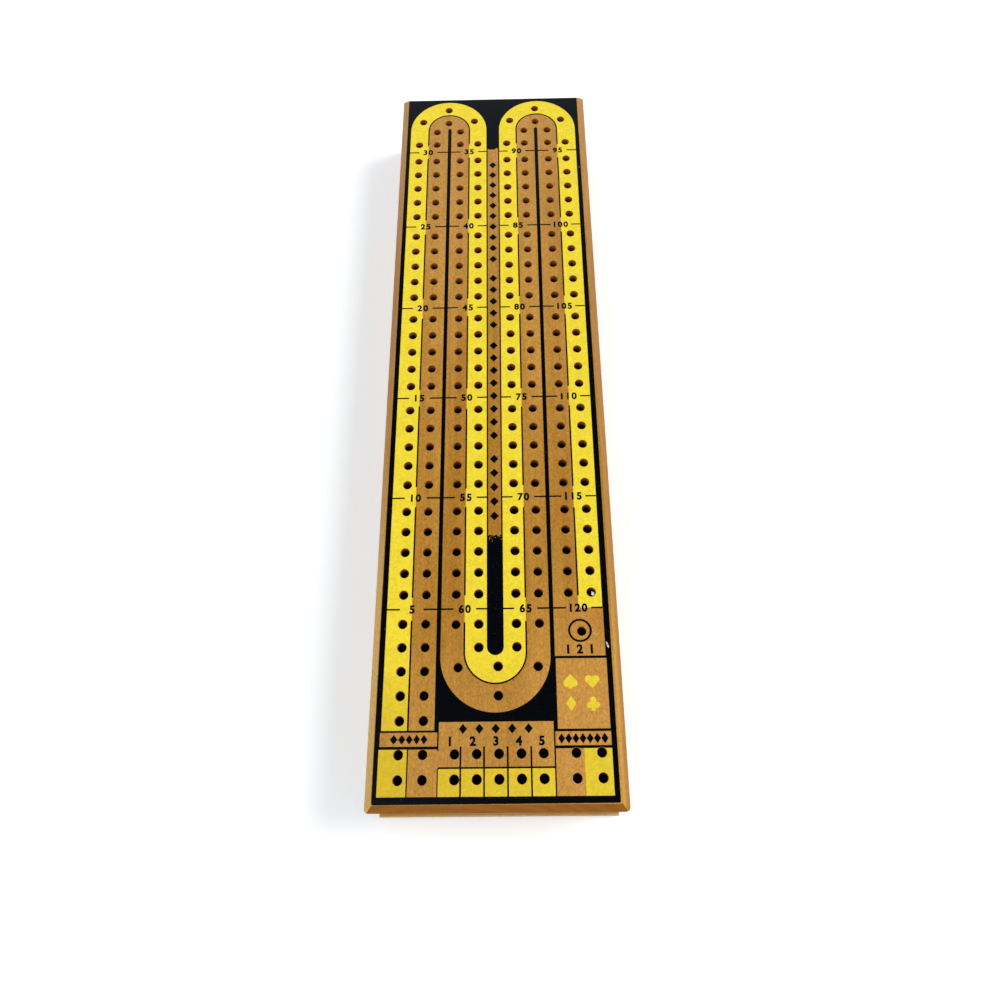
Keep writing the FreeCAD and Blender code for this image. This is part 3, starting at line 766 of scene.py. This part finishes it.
def lozenge(x, y, half_width, half_height):
    return [(x - half_width, y), (x, y - half_height), (x + half_width, y), (x, y + half_height)]


def stroke(points, width):
    """A band of the given width along an open line."""
    left, right = [], []
    for i, point in enumerate(points):
        before, after = points[max(i - 1, 0)], points[min(i + 1, len(points) - 1)]
        run = Vector((after[0] - before[0], after[1] - before[1])).normalized() * width / 2
        left.append((point[0] - run.y, point[1] + run.x))
        right.append((point[0] + run.y, point[1] - run.x))
    return left + right[::-1]


def mirrored(points):
    return [(-x, y) for x, y in reversed(points)]


def boundary_loops(mesh):
    """The closed outlines round a flat mesh's faces."""
    shape = shape_of(mesh)
    left = dict.fromkeys(edge for edge in shape.edges if len(edge.link_faces) == 1)
    loops = []
    while left:
        edge = left.popitem()[0]
        first, at = edge.verts
        loop = [first.co.copy()]
        while at != first:
            loop.append(at.co.copy())
            edge = next(other for other in at.link_edges if other in left)
            del left[edge]
            at = edge.other_vert(at)
        loops.append(loop)
    shape.free()
    return loops


def figures(text, x, y, height, spacing=1.25):
    """The outlines of a printed number, in Blender's own font, centred on x, y."""
    weight = 0.025
    curve = bpy.data.curves.new("figures", "FONT")
    curve.body = text
    curve.resolution_u = 4
    curve.space_character = spacing
    curve.offset = weight
    curve.fill_mode = "FRONT"
    mesh = evaluated_mesh(new_object("figures", curve))
    corners = [vertex.co for vertex in mesh.vertices]
    low = Vector((min(c.x for c in corners), min(c.y for c in corners)))
    high = Vector((max(c.x for c in corners), max(c.y for c in corners)))
    scale = height / (high.y - low.y)
    middle = (low + high) / 2
    return [
        [(x + (c.x - middle.x) * scale, y + (c.y - middle.y) * scale) for c in loop]
        for loop in boundary_loops(mesh)
    ]


def ragged(left, right, low, high, rng, depth):
    """A rectangle whose two ends are torn by up to depth."""
    steps = 14
    across = [left + (right - left) * i / steps for i in range(steps + 1)]
    bottom = [(x, low + rng.uniform(-depth, depth)) for x in across]
    top = [(x, high + rng.uniform(-depth, depth)) for x in reversed(across)]
    return bottom + top


def suit_pips(x, y, size):
    """The four suits of a pack of cards, two by two about x, y; each is drawn about one unit high."""
    lobe = 0.27
    leaf = 0.225
    stem = [(-0.17, -0.52), (0.17, -0.52), (0.04, 0.1), (-0.04, 0.1)]
    point = [(-0.475, -0.01), (0, -0.52), (0.475, -0.01), (0, 0.16)]
    heart = [disc(-0.25, 0.14, lobe, 24), disc(0.25, 0.14, lobe, 24), point]
    spade = [[(px, -py) for px, py in reversed(outline)] for outline in heart] + [stem]
    club = [disc(px, py, leaf, 24) for px, py in ((0, 0.24), (-0.25, -0.12), (0.25, -0.12))] + [stem]
    diamond = [lozenge(0, 0, 0.38, 0.52)]
    step = 0.78
    pips = ((-step, step, spade), (step, step, heart), (-step, -step, diamond), (step, -step, club))
    return [
        [(x + (dx + px) * size, y + (dy + py) * size) for px, py in outline]
        for dx, dy, pip in pips
        for outline in pip
    ]


class Print:
    """The shapes of the print, each an ink and its outlines, and the sizes that its parts share."""

    def __init__(self, settings):
        self.shapes = []
        self.line = settings.line / MM
        self.height = settings.figure_height / MM

    def lay(self, ink, *outlines):
        for outline in outlines:
            self.shapes.append((ink, [outline]))

    def lay_box(self, ink, *sides):
        self.lay(ink, rectangle(*sides))

    def lay_row(self, count, pitch, x, y, half_width, half_height):
        """Lays a row of black lozenges with its middle at x, y."""
        for i in range(count):
            self.lay("black", lozenge(x + (i - (count - 1) / 2) * pitch, y, half_width, half_height))

    def lay_figures(self, *text_and_place, apart=0.06):
        """Lays a black number, struck four times a little apart to thicken its lines."""
        loops = figures(*text_and_place)
        for dx, dy in ((-1, -1), (1, -1), (-1, 1), (1, 1)):
            moved = [[(x + dx * apart, y + dy * apart) for x, y in loop] for loop in loops]
            self.shapes.append(("black", moved))

    def spread(self):
        """Moves the outermost lanes outwards towards the front, as the board there is wider."""
        still, full = 31.0, 36.0
        # each side's move at y = 0, and how much it grows for each millimetre towards the front
        left, right = (0.36, 0.0024), (0.02, 0.0014)
        for _, outlines in self.shapes:
            for outline in outlines:
                for i, (x, y) in enumerate(outline):
                    share = min(max((abs(x) - still) / (full - still), 0.0), 1.0)
                    move, growth = left if x < 0 else right
                    outline[i] = (x + math.copysign(share * (move - growth * y), x), y)


def lay_lanes(sheet):
    """The black ground, the two arches, the eight lanes and the bend at the front."""
    margin = 0.1
    back = (BOARD_HIGH.y - CHAMFER) / MM - margin
    front = (BOARD_LOW.y + CHAMFER) / MM + margin
    cut = 0.45
    ground = [
        (GROUND_FRONT[0], front + cut),
        (GROUND_FRONT[0] + cut, front),
        (GROUND_FRONT[1] - cut, front + GROUND_SKEW),
        (GROUND_FRONT[1], front + cut),
        (GROUND_BACK[1], back),
        (GROUND_BACK[0], back),
    ]
    sheet.lay("black", ground)
    slit_end = SLIT_TOP - HALF_SLIT
    for side, foot in ((-1, LANES_END), (1, LAST_FIGURES)):
        for ink, outline in (
            ("yellow", rectangle(HALF_STRIP, INNER_LINE, BEND_CENTRE, ARCH_CENTRE)),
            ("bare", rectangle(INNER_LINE, SLIT - HALF_SLIT, OUTER_BEND_CENTRE, ARCH_CENTRE)),
            ("bare", rectangle(SLIT + HALF_SLIT, OUTER_LINE, foot, ARCH_CENTRE)),
            ("yellow", rectangle(OUTER_LINE, TRACK_EDGE, foot, ARCH_CENTRE)),
            ("yellow", arc(ARCH_MIDDLE, ARCH_CENTRE, TRACK_EDGE - ARCH_MIDDLE, 0, 180)),
            ("bare", inner_arch()),
            ("black", rectangle(SLIT - HALF_SLIT, SLIT + HALF_SLIT, ARCH_CENTRE - 1, slit_end)),
            ("black", disc(SLIT, slit_end, HALF_SLIT, 20)),
        ):
            sheet.lay(ink, mirrored(outline) if side < 0 else outline)
    sheet.lay("bare", arc(0, OUTER_BEND_CENTRE, SLIT - HALF_SLIT, 180, 360))
    strip_end = BEND_CENTRE + 1.75
    sheet.lay_box("yellow", -INNER_LINE, INNER_LINE, BEND_CENTRE, strip_end)
    sheet.lay("yellow", arc(0, BEND_CENTRE, INNER_LINE, 180, 360))
    sheet.lay_box("black", -HALF_STRIP, HALF_STRIP, strip_end, 0)
    sheet.lay("black", arc(0, strip_end, HALF_STRIP, 180, 360, 24))


def lay_lines(sheet):
    """The thin lines between the lanes, worn away beside the rows of numbers, and the number rows."""
    line, thin = sheet.line, sheet.line / 2
    worn = (3.4, 5.2)
    gap = 3.95
    gap_of_hundreds = 4.3
    rng = random.Random(7)
    for side, foot in ((-1, LANES_END), (1, LAST_FIGURES)):
        band = stroke([(OUTER_LINE, foot)] + inner_arch() + [(INNER_LINE, BEND_CENTRE)], line)
        sheet.lay("black", mirrored(band) if side < 0 else band)
    sheet.lay("black", stroke(arc(0, BEND_CENTRE, INNER_LINE, 180, 360), line))
    lane_pairs = (
        (-TRACK_EDGE, -OUTER_LINE, -SLIT - HALF_SLIT),
        (-SLIT + HALF_SLIT, -INNER_LINE, -HALF_STRIP),
        (HALF_STRIP, INNER_LINE, SLIT - HALF_SLIT),
        (SLIT + HALF_SLIT, OUTER_LINE, TRACK_EDGE),
    )
    for row in range(6):
        y = FIRST_FIGURES - row * FIGURE_STEP
        numbers = (30 - 5 * row, 35 + 5 * row, 90 - 5 * row, 95 + 5 * row)
        for number, (start, middle, end) in zip(numbers, lane_pairs):
            above, below = rng.uniform(*worn), rng.uniform(*worn)
            if row == 5 and middle == OUTER_LINE:
                below = 0.0
            yellow_left = middle in (-OUTER_LINE, INNER_LINE)
            left_ink, right_ink = ("yellow", "bare") if yellow_left else ("bare", "yellow")
            sheet.lay_box(left_ink, middle - line, middle, y - below, y + above)
            sheet.lay_box(right_ink, middle, middle + line, y - below, y + above)
            room = gap if number < 100 else gap_of_hundreds
            sheet.lay_box("black", start, middle - room, y - thin, y + thin)
            sheet.lay_box("black", middle + room, end, y - thin, y + thin)
            sheet.lay_figures(str(number), middle, y, sheet.height)


def lay_strip(sheet):
    """The bare strip down the middle, with dots where its worn end leaves it, and its lozenges."""
    edge = HALF_STRIP - 0.5
    tear = 0.55
    specks = 26
    speck_sizes = (0.06, 0.2)
    middle, half_width, half_height = -0.09, 1.6, 1.7
    first, pitch, gap = 112.05, 5.67, 4.1
    rng = random.Random(11)
    sheet.lay("bare", ragged(-edge, edge, STRIP_BOTTOM, STRIP_TOP, rng, tear))
    for _ in range(specks):
        x, y = rng.uniform(-edge, edge), STRIP_BOTTOM - abs(rng.gauss(0, 0.7)) - 0.3
        sheet.lay("bare", disc(x, y, rng.uniform(*speck_sizes), 6))
    y = first
    for group in (10, 5, 8, 5):
        for _ in range(group):
            sheet.lay("black", lozenge(middle, y, half_width, half_height))
            y -= pitch
        y -= gap


def lay_panels(sheet):
    """The finish ring and the bare panel, the start cells, the corner cells and the games counter."""
    thin, height = sheet.line / 2, sheet.height
    lap = 0.2
    inner = SLIT + HALF_SLIT
    ring_x, ring_radius, ring_hole = OUTER_LINE + 0.1, 4.0, 3.3
    finish_row = -101.7
    pips_row, pips_size = -116.0, 4.6
    sheet.lay_box("bare", inner, PANEL_EDGE, PANEL_TOP + 0.8, LAST_FIGURES)
    sheet.lay("black", disc(ring_x, RING_ROW, ring_radius, 48))
    sheet.lay("bare", disc(ring_x, RING_ROW, ring_hole, 48))
    sheet.lay_figures("121", OUTER_LINE - 0.2, finish_row, height * 1.08, 1.9)
    sheet.lay_box("bare", inner + lap, PANEL_EDGE + lap, LANES_END + lap, PANEL_TOP)
    sheet.lay("yellow", *suit_pips((inner + PANEL_EDGE) / 2, pips_row, pips_size))

    band_low, band_top = CELLS_TOP + 0.88, LANES_END - 0.6
    band_middle = (band_low + band_top) / 2
    start_left, start_line, start_right = -TRACK_EDGE - 0.3, -28.55, -19.0
    corner_line, corner_right = 28.5, PANEL_EDGE + 0.3
    for ink, left, right, low, high in (
        ("bare", start_left, start_right, band_low, band_top),
        ("yellow", start_left - lap, start_line - lap, CELLS_BOTTOM, CELLS_TOP),
        ("bare", start_line + lap, start_right + 0.1, CELLS_BOTTOM, CELLS_TOP),
        ("bare", SLIT, corner_right, band_low, band_top),
        ("bare", SLIT, corner_line, CELLS_BOTTOM, CELLS_TOP),
        ("yellow", corner_line, corner_right, CELLS_BOTTOM, CELLS_TOP),
    ):
        sheet.lay_box(ink, left, right, low, high)
    sheet.lay_row(5, 2.4, -28.1, band_middle, 1.1, 1.5)
    sheet.lay_row(7, 2.3, 28.2, band_middle, 1.1, 1.6)

    left, right = -18.55, 18.85
    columns, cell_pitch, cell_top = 5, 7.6, -132.9
    number_row, number_pitch = -131.2, 7.45
    mark_row, mark_pitch = -127.35, 5.35
    sheet.lay_box("bare", left, right, COUNTER_LINE, COUNTER_TOP)
    sheet.lay_box("yellow", left, right, CELLS_BOTTOM, COUNTER_LINE)
    sheet.lay_box("bare", start_right, left + 0.01, COUNTER_LINE, -134.2)
    sheet.lay_box("black", left, right, COUNTER_LINE - thin, COUNTER_LINE + thin)
    for i in range(1, columns):
        x = (i - columns / 2) * cell_pitch
        sheet.lay_box("black", x - thin, x + thin, CELLS_BOTTOM, cell_top)
    for i in range(columns):
        sheet.lay_figures(str(i + 1), (i - (columns - 1) / 2) * number_pitch, number_row, height * 1.02)
    sheet.lay_row(columns, mark_pitch, 0, mark_row, 1.35, 1.6)


def lay_wear(sheet):
    """Knocks and crumbs where the ink has gone and pale wood shows."""
    knock = [(37.55, -99.2), (38.0, -99.9), (38.35, -101.0), (38.2, -101.5), (37.75, -101.0), (37.3, -99.7)]
    crumb = [(33.45, -81.75), (33.85, -82.05), (34.4, -82.2), (34.4, -83.1), (33.75, -83.3), (33.3, -82.95)]
    nick = [(37.7, 110.1), (38.0, 110.2), (37.9, 109.7)]
    scratch = stroke([(32.9, -95.0), (33.6, -96.2), (34.3, -97.4)], 0.12)
    sheet.lay("chip", knock, crumb, nick, scratch)
    sheet.lay("black", disc(4.35, -52.3, 0.17, 8))
    specks = 26
    reach = 148
    rng = random.Random(5)
    for _ in range(specks):
        x = rng.choice((-1, 1)) * rng.uniform(37.6, 38.4)
        sheet.lay("chip", disc(x, rng.uniform(-reach, reach), rng.uniform(0.03, 0.07), 5))


def within(outlines, x, y):
    """Says which of the spots lie inside an odd number of the outlines."""
    odd = numpy.zeros(len(x), bool)
    for outline in outlines:
        for (ax, ay), (bx, by) in zip(outline, outline[1:] + outline[:1]):
            if ay != by:
                odd ^= ((ay > y) != (by > y)) & (x < ax + (y - ay) * (bx - ax) / (by - ay))
    return odd


def arrange(shapes):
    """Cuts the shapes into triangles that don't overlap: gives the points and each ink's triangles."""
    points, edges = [], []
    for _, outlines in shapes:
        for outline in outlines:
            first, count = len(points), len(outline)
            points.extend(Vector(point) for point in outline)
            edges.extend((first + i, first + (i + 1) % count) for i in range(count))
    corners, _, triangles, _, _, _ = delaunay_2d_cdt(points, edges, [], 0, 1e-5, False)
    spots = numpy.array([(corner.x, corner.y) for corner in corners])
    x, y = spots[numpy.array(triangles)].mean(axis=1).T
    top = numpy.full(len(triangles), -1)
    for index, (_, outlines) in enumerate(shapes):
        reach = numpy.array([tuple(point) for outline in outlines for point in outline])
        (left, front), (right, back) = reach.min(axis=0), reach.max(axis=0)
        near = numpy.flatnonzero((x > left) & (x < right) & (y > front) & (y < back))
        top[near[within(outlines, x[near], y[near])]] = index
    inks = {}
    for triangle, index in zip(triangles, top):
        if index >= 0:
            inks.setdefault(shapes[index][0], []).append(triangle)
    return corners, inks


def film_mesh(name, corners, triangles, low, high, shift):
    """A thin closed plate over the triangles, from low to high."""
    used = sorted({i for triangle in triangles for i in triangle})
    order = {old: new for new, old in enumerate(used)}
    count = len(used)
    places = [(corners[i].x * MM + shift, corners[i].y * MM, high) for i in used]
    places += [(x, y, low) for x, y, _ in places]
    top = [tuple(order[i] for i in triangle) for triangle in triangles]
    bottom = [tuple(i + count for i in reversed(face)) for face in top]
    edges = {(a, b) for face in top for a, b in zip(face, face[1:] + face[:1])}
    walls = [(b, a, a + count, b + count) for a, b in edges if (b, a) not in edges]
    mesh = bpy.data.meshes.new(name)
    mesh.from_pydata(places, [], top + bottom + walls)
    mesh.update()
    return mesh


class CRIBBAGE_OT_print(bpy.types.Operator):
    """Print the lanes, lines and numbers on the playing face in two inks"""

    bl_idname = "cribbage.print"
    bl_label = "Print"

    def execute(self, context):
        settings = context.scene.cribbage_print
        sheet = Print(settings)
        for lay in (lay_lanes, lay_panels, lay_lines, lay_strip):
            lay(sheet)
        sheet.spread()
        rim = (HOLE_RADIUS + context.scene.cribbage_board.hole_flare) / MM + 0.03
        for hole in HOLES:
            sheet.lay("bare", disc((hole.x - settings.shift) / MM, hole.y / MM, rim, 24))
        lay_wear(sheet)
        corners, inks = arrange(sheet.shapes)
        patch, speck, front_tone = linear("050508"), linear("4A4A4C"), linear("060302")
        blue_sheen = (0.5, 0.76, 1.0, 1.0)
        black = screen_ink("screen_ink_black", settings.black, patch, speck, front_tone, 0.22, 0.18, blue_sheen)
        patch, speck, front_tone = linear("EACF2C"), linear("B98B2A"), linear("C6A01C")
        plain = (1.0, 1.0, 1.0, 1.0)
        yellow = screen_ink("screen_ink_yellow", settings.yellow, patch, speck, front_tone, 0.5, 0.25, plain)
        face = BOARD_HIGH.z
        sunk = face - 0.02 * MM
        for name, ink, share, slot, material in (
            ("ink_black", "black", 1.0, "ink_black", black),
            ("ink_yellow", "yellow", 0.7, "ink_yellow", yellow),
            ("ink_chips", "chip", 1.2, "board_maple", splintered_maple()),
        ):
            mesh = film_mesh(name, corners, inks[ink], sunk, face + settings.film * share, settings.shift)
            mesh.materials.append(material)
            make_piece(name, mesh, "case")
        return {"FINISHED"}


# Case, drawer, brads and pegs


def make_boards(nodes, body, width, direction, materials):
    """Softens each node's edges by width, gives it its materials, and puts it in the node's place."""
    for node in nodes:
        shape = joined_shape(node)
        bmesh.ops.dissolve_limit(shape, angle_limit=math.radians(0.5), verts=shape.verts, edges=shape.edges)
        if node.startswith("side_rail"):
            for corner in shape.verts:
                if abs(corner.co.x) > BOARD_HIGH.x - 0.5 * MM:
                    corner.co.x = swollen(corner.co.x, corner.co.y)
        name = f"{node}_finished"
        mesh = softened(name, shape, width)
        grain_materials(mesh, direction, materials)
        make_piece(name, mesh, body, [node])


class CRIBBAGE_OT_case(bpy.types.Operator):
    """Finish the side rails, the back rail and the bottom panel"""

    bl_idname = "cribbage.case"
    bl_label = "Case"

    def execute(self, context):
        wood = context.scene.cribbage_wood
        width = context.scene.cribbage_board.arris
        rail = maple("lacquered_maple_rails", wood.light, wood.dark, shift=(0.31, 0.17, 0.05))
        rail_end = maple_end("lacquered_maple_rails_end", wood.end, shift=(0.02, 0, 0.03))
        back = maple("lacquered_maple_back_rail", wood.light, wood.dark, ACROSS, (0.11, 0.53, 0.02))
        back_end = maple_end("lacquered_maple_back_rail_end", wood.end, ACROSS)
        panel = hardboard("pressed_hardboard_panel", wood.hardboard)
        for nodes, slot, direction, materials in (
            (["side_rail_left", "side_rail_right"], "case_maple", AXIS_Y, [rail, rail_end]),
            (["back_rail"], "case_maple", AXIS_X, [back, back_end]),
            (["bottom_panel"], "panel_hardboard", AXIS_Y, [panel]),
        ):
            make_boards(nodes, "case", width, direction, materials)
        return {"FINISHED"}


class CRIBBAGE_OT_drawer(bpy.types.Operator):
    """Finish the drawer's front, sides, back, floor and dividers"""

    bl_idname = "cribbage.drawer"
    bl_label = "Drawer"

    def execute(self, context):
        wood = context.scene.cribbage_wood
        width = context.scene.cribbage_board.arris
        raw, pale, dull = wood.raw, shaded(wood.raw, 0.86), 0.6
        # Painted light: the drawer front gets a paler, greyer maple than the rest, standing in for the light
        # the white table throws back on its face.
        painted_light_front = linear("BCA47C")
        front = maple("lacquered_maple_drawer_front", painted_light_front, wood.light, ACROSS, (0.72, 0.37, 0.11))
        front_end = maple_end("lacquered_maple_drawer_front_end", wood.end, ACROSS, (0.01, 0, 0.02))
        side = maple("sanded_maple_sides", raw, pale, ALONG, (0.21, 0.93, 0.4), 0.0, dull)
        cross = maple("sanded_maple_dividers", raw, pale, ACROSS, (0.4, 0.3, 0.9), 0.0, dull)
        end = maple_end("sanded_maple_end", pale)
        floor = hardboard("pressed_hardboard_floor", wood.hardboard)
        sides = ["drawer_side_left", "drawer_side_right"]
        crossed = ["drawer_back", "drawer_divider_front", "drawer_divider_rear"]
        for nodes, slot, share, direction, materials in (
            (["drawer_front"], "case_maple", 1.0, AXIS_X, [front, front_end]),
            (sides, "drawer_maple", 0.7, AXIS_Y, [side, end]),
            (crossed, "drawer_maple", 0.7, AXIS_X, [cross, end]),
            (["drawer_floor"], "panel_hardboard", 0.5, AXIS_Y, [floor]),
        ):
            make_boards(nodes, "drawer", width * share, direction, materials)
        return {"FINISHED"}


def set_points(node):
    """Where each solid of a node starts, and which way it points: from its wider end along its axis."""
    shape = joined_shape(node)
    places, directions = [], []
    for island in islands(shape.verts, lambda one: [edge.other_vert(one) for edge in one.link_edges]):
        middle = sum((vertex.co for vertex in island), Vector()) / len(island)
        offsets = [vertex.co - middle for vertex in island]
        axis = max(offsets, key=lambda offset: offset.length).normalized()
        for _ in range(20):
            axis = sum((offset * offset.dot(axis) for offset in offsets), Vector()).normalized()
        reach = [offset.dot(axis) for offset in offsets]
        ends = (min(reach), max(reach))
        widths = []
        for end in ends:
            near = [i for i, along in enumerate(reach) if abs(along - end) < 0.01 * MM]
            widths.append(max((offsets[i] - axis * reach[i]).length for i in near))
        start, direction = (ends[0], axis) if widths[0] > widths[1] else (ends[1], -axis)
        places.append(middle + axis * start)
        directions.append(direction)
    shape.free()
    return places, directions


def turn_piece(name, nodes, body, tree, metal):
    """Sets the tree's turned shape where the solids of the nodes are, as one piece in their place."""
    places, directions = [], []
    for node in nodes:
        for found, kept in zip(set_points(node), (places, directions)):
            kept.extend(found)
    mesh = run_tree(points_object(name, places, directions), tree, {"Scale": MM, "Material": metal})
    smooth_shading(mesh)
    make_piece(name, mesh, body, nodes)


class CRIBBAGE_OT_brads(bpy.types.Operator):
    """Drive the brads of the case and of the drawer"""

    bl_idname = "cribbage.brads"
    bl_label = "Brads"

    def execute(self, context):
        head, shank, point, taper = 1.05, 0.6, 12.0, 1.6
        stations = [
            (0.0, 0.12),
            (head * 0.62, 0.08),
            (head * 0.86, 0.0),
            (head, 0.1),
            (head, 0.48),
            (shank, 0.5),
            (shank, point - taper),
            (0.0, point),
        ]
        metal = turned_metal("wire_brad_steel", linear("A3A19C"), linear("6E675C"), 0.38)
        for name, nodes, body in (
            ("case_brads", ["panel_brads", "corner_brads"], "case"),
            ("drawer_brads_finished", ["drawer_brads"], "drawer"),
        ):
            turn_piece(name, nodes, body, turning_tree(name, stations, 16), metal)
        return {"FINISHED"}


class CRIBBAGE_OT_pegs(bpy.types.Operator):
    """Turn the brass and steel pegs"""

    bl_idname = "cribbage.pegs"
    bl_label = "Pegs"

    def execute(self, context):
        radius, waist, groove, head = 2.4, 1.95, 1.6, 7.0
        middle, foot = head / 2, 36.0
        shank, tip, ease = 1.55, 1.3, 0.5
        # the steps of a rounded end and of half the groove: how much is cut away, and how far along
        end = [(ease, 0.0), (0.3 * ease, 0.3 * ease), (0.0, ease)]
        nick = [(0.0, groove / 2 + 0.1), (0.1, groove / 2 - 0.05), (radius - waist, 0.15)]
        stations = [(0.0, 0.0)]
        stations += [(radius - cut, height) for cut, height in end]
        stations += [(radius - cut, middle - height) for cut, height in nick]
        stations += [(radius - cut, middle + height) for cut, height in reversed(nick)]
        stations += [(radius - cut, head - height) for cut, height in reversed(end)]
        stations += [(shank, head)]
        stations += [(tip - cut, foot - height) for cut, height in reversed(end)]
        stations += [(0.0, foot)]
        metals = {
            "brass": turned_metal("turned_brass", linear("D9B45C"), linear("A8843A"), 0.24),
            "steel": turned_metal("nickelled_steel", linear("D6D3CC"), linear("A8A49B"), 0.2),
        }
        tree = turning_tree("turned_peg", stations, 40)
        for node in sorted(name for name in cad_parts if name.startswith("peg_")):
            metal = node.split("_")[1]
            turn_piece(f"{node}_turned", [node], node, tree, metals[metal])
        return {"FINISHED"}


# Stage


def add_sun(name, strength, direction, softness, colour):
    """A sun that shines along direction."""
    lamp = bpy.data.lights.new(name, "SUN")
    lamp.energy = strength
    lamp.angle = math.radians(softness)
    lamp.color = colour
    new_object(name, lamp).rotation_euler = Vector(direction).to_track_quat("-Z", "Y").to_euler()


def add_world():
    """A room that is white all round and grey overhead."""
    world = bpy.data.worlds.new("room")
    world.use_nodes = True
    world.node_tree.nodes.clear()
    add = partial(add_node, world.node_tree)
    look = add("TexCoord").outputs["Generated"]
    height = add("SeparateXYZ", {0: look}).outputs[2]
    step = {"Value": height, "From Min": 0.58, "From Max": 0.76}
    rise = add("MapRange", step, interpolation_type="SMOOTHSTEP")
    shade = add("Mix", {0: rise, 6: linear("FFFFFF"), 7: linear("505254")}, data_type="RGBA")
    light = add("Background", {"Color": shade, "Strength": 1.0})
    add("OutputWorld", {"Surface": light})
    bpy.context.scene.world = world


class CRIBBAGE_OT_stage(bpy.types.Operator):
    """Lay the white table, set the lights and place the camera"""

    bl_idname = "cribbage.stage"
    bl_label = "Stage"

    def execute(self, context):
        scene = context.scene
        settings = scene.cribbage_stage
        reach = 4.0
        mesh = bpy.data.meshes.new("table")
        corners = [(x, y, 0) for x, y in rectangle(-reach, reach, -reach, reach)]
        mesh.from_pydata(corners, [], [(0, 1, 2, 3)])
        mesh.materials.append(melamine(settings.table))
        table = new_object("table", mesh)

        add_world()
        add_sun("key", 1.6, (-0.75, -0.2, -0.75), 26, (1.0, 0.99, 0.97))
        add_sun("fill", 0.8, (0.45, 0.45, -0.8), 70, (1.0, 1.0, 1.0))

        lens = bpy.data.cameras.new("camera")
        lens.lens = settings.lens
        lens.sensor_width = 36.0
        lens.clip_start = 0.01
        camera = new_object("camera", lens)
        camera.location = settings.camera_place
        camera.rotation_euler = Euler(settings.camera_turn)
        scene.camera = camera
        scene.view_settings.view_transform = "Standard"
        return {"FINISHED"}


# Add-on

SETTINGS = {
    "cribbage_board": BoardSettings,
    "cribbage_print": PrintSettings,
    "cribbage_wood": WoodSettings,
    "cribbage_stage": StageSettings,
}
OPERATORS = (
    CRIBBAGE_OT_board,
    CRIBBAGE_OT_print,
    CRIBBAGE_OT_case,
    CRIBBAGE_OT_drawer,
    CRIBBAGE_OT_brads,
    CRIBBAGE_OT_pegs,
    CRIBBAGE_OT_stage,
)


class CRIBBAGE_PT_panel(bpy.types.Panel):
    """Lists the sizes, the colours and the steps of the cribbage box"""

    bl_label = "Cribbage box"
    bl_idname = "CRIBBAGE_PT_panel"
    bl_space_type = "VIEW_3D"
    bl_region_type = "UI"
    bl_category = "Cribbage box"

    def draw(self, context):
        layout = self.layout
        for name in SETTINGS:
            group = getattr(context.scene, name)
            box = layout.box()
            for key in group.__annotations__:
                box.prop(group, key)
        for operator in OPERATORS:
            layout.operator(operator.bl_idname)


CLASSES = (*SETTINGS.values(), *OPERATORS, CRIBBAGE_PT_panel)


def register():
    for kind in CLASSES:
        bpy.utils.register_class(kind)
    for name, group in SETTINGS.items():
        setattr(bpy.types.Scene, name, PointerProperty(type=group))


def unregister():
    for name in SETTINGS:
        delattr(bpy.types.Scene, name)
    for kind in reversed(CLASSES):
        bpy.utils.unregister_class(kind)


def main():
    register()
    bpy.ops.cribbage.stage()
    bpy.ops.cribbage.board()
    bpy.ops.cribbage.print()
    bpy.ops.cribbage.case()
    bpy.ops.cribbage.drawer()
    bpy.ops.cribbage.brads()
    bpy.ops.cribbage.pegs()


if __name__ == "__main__":
    main()
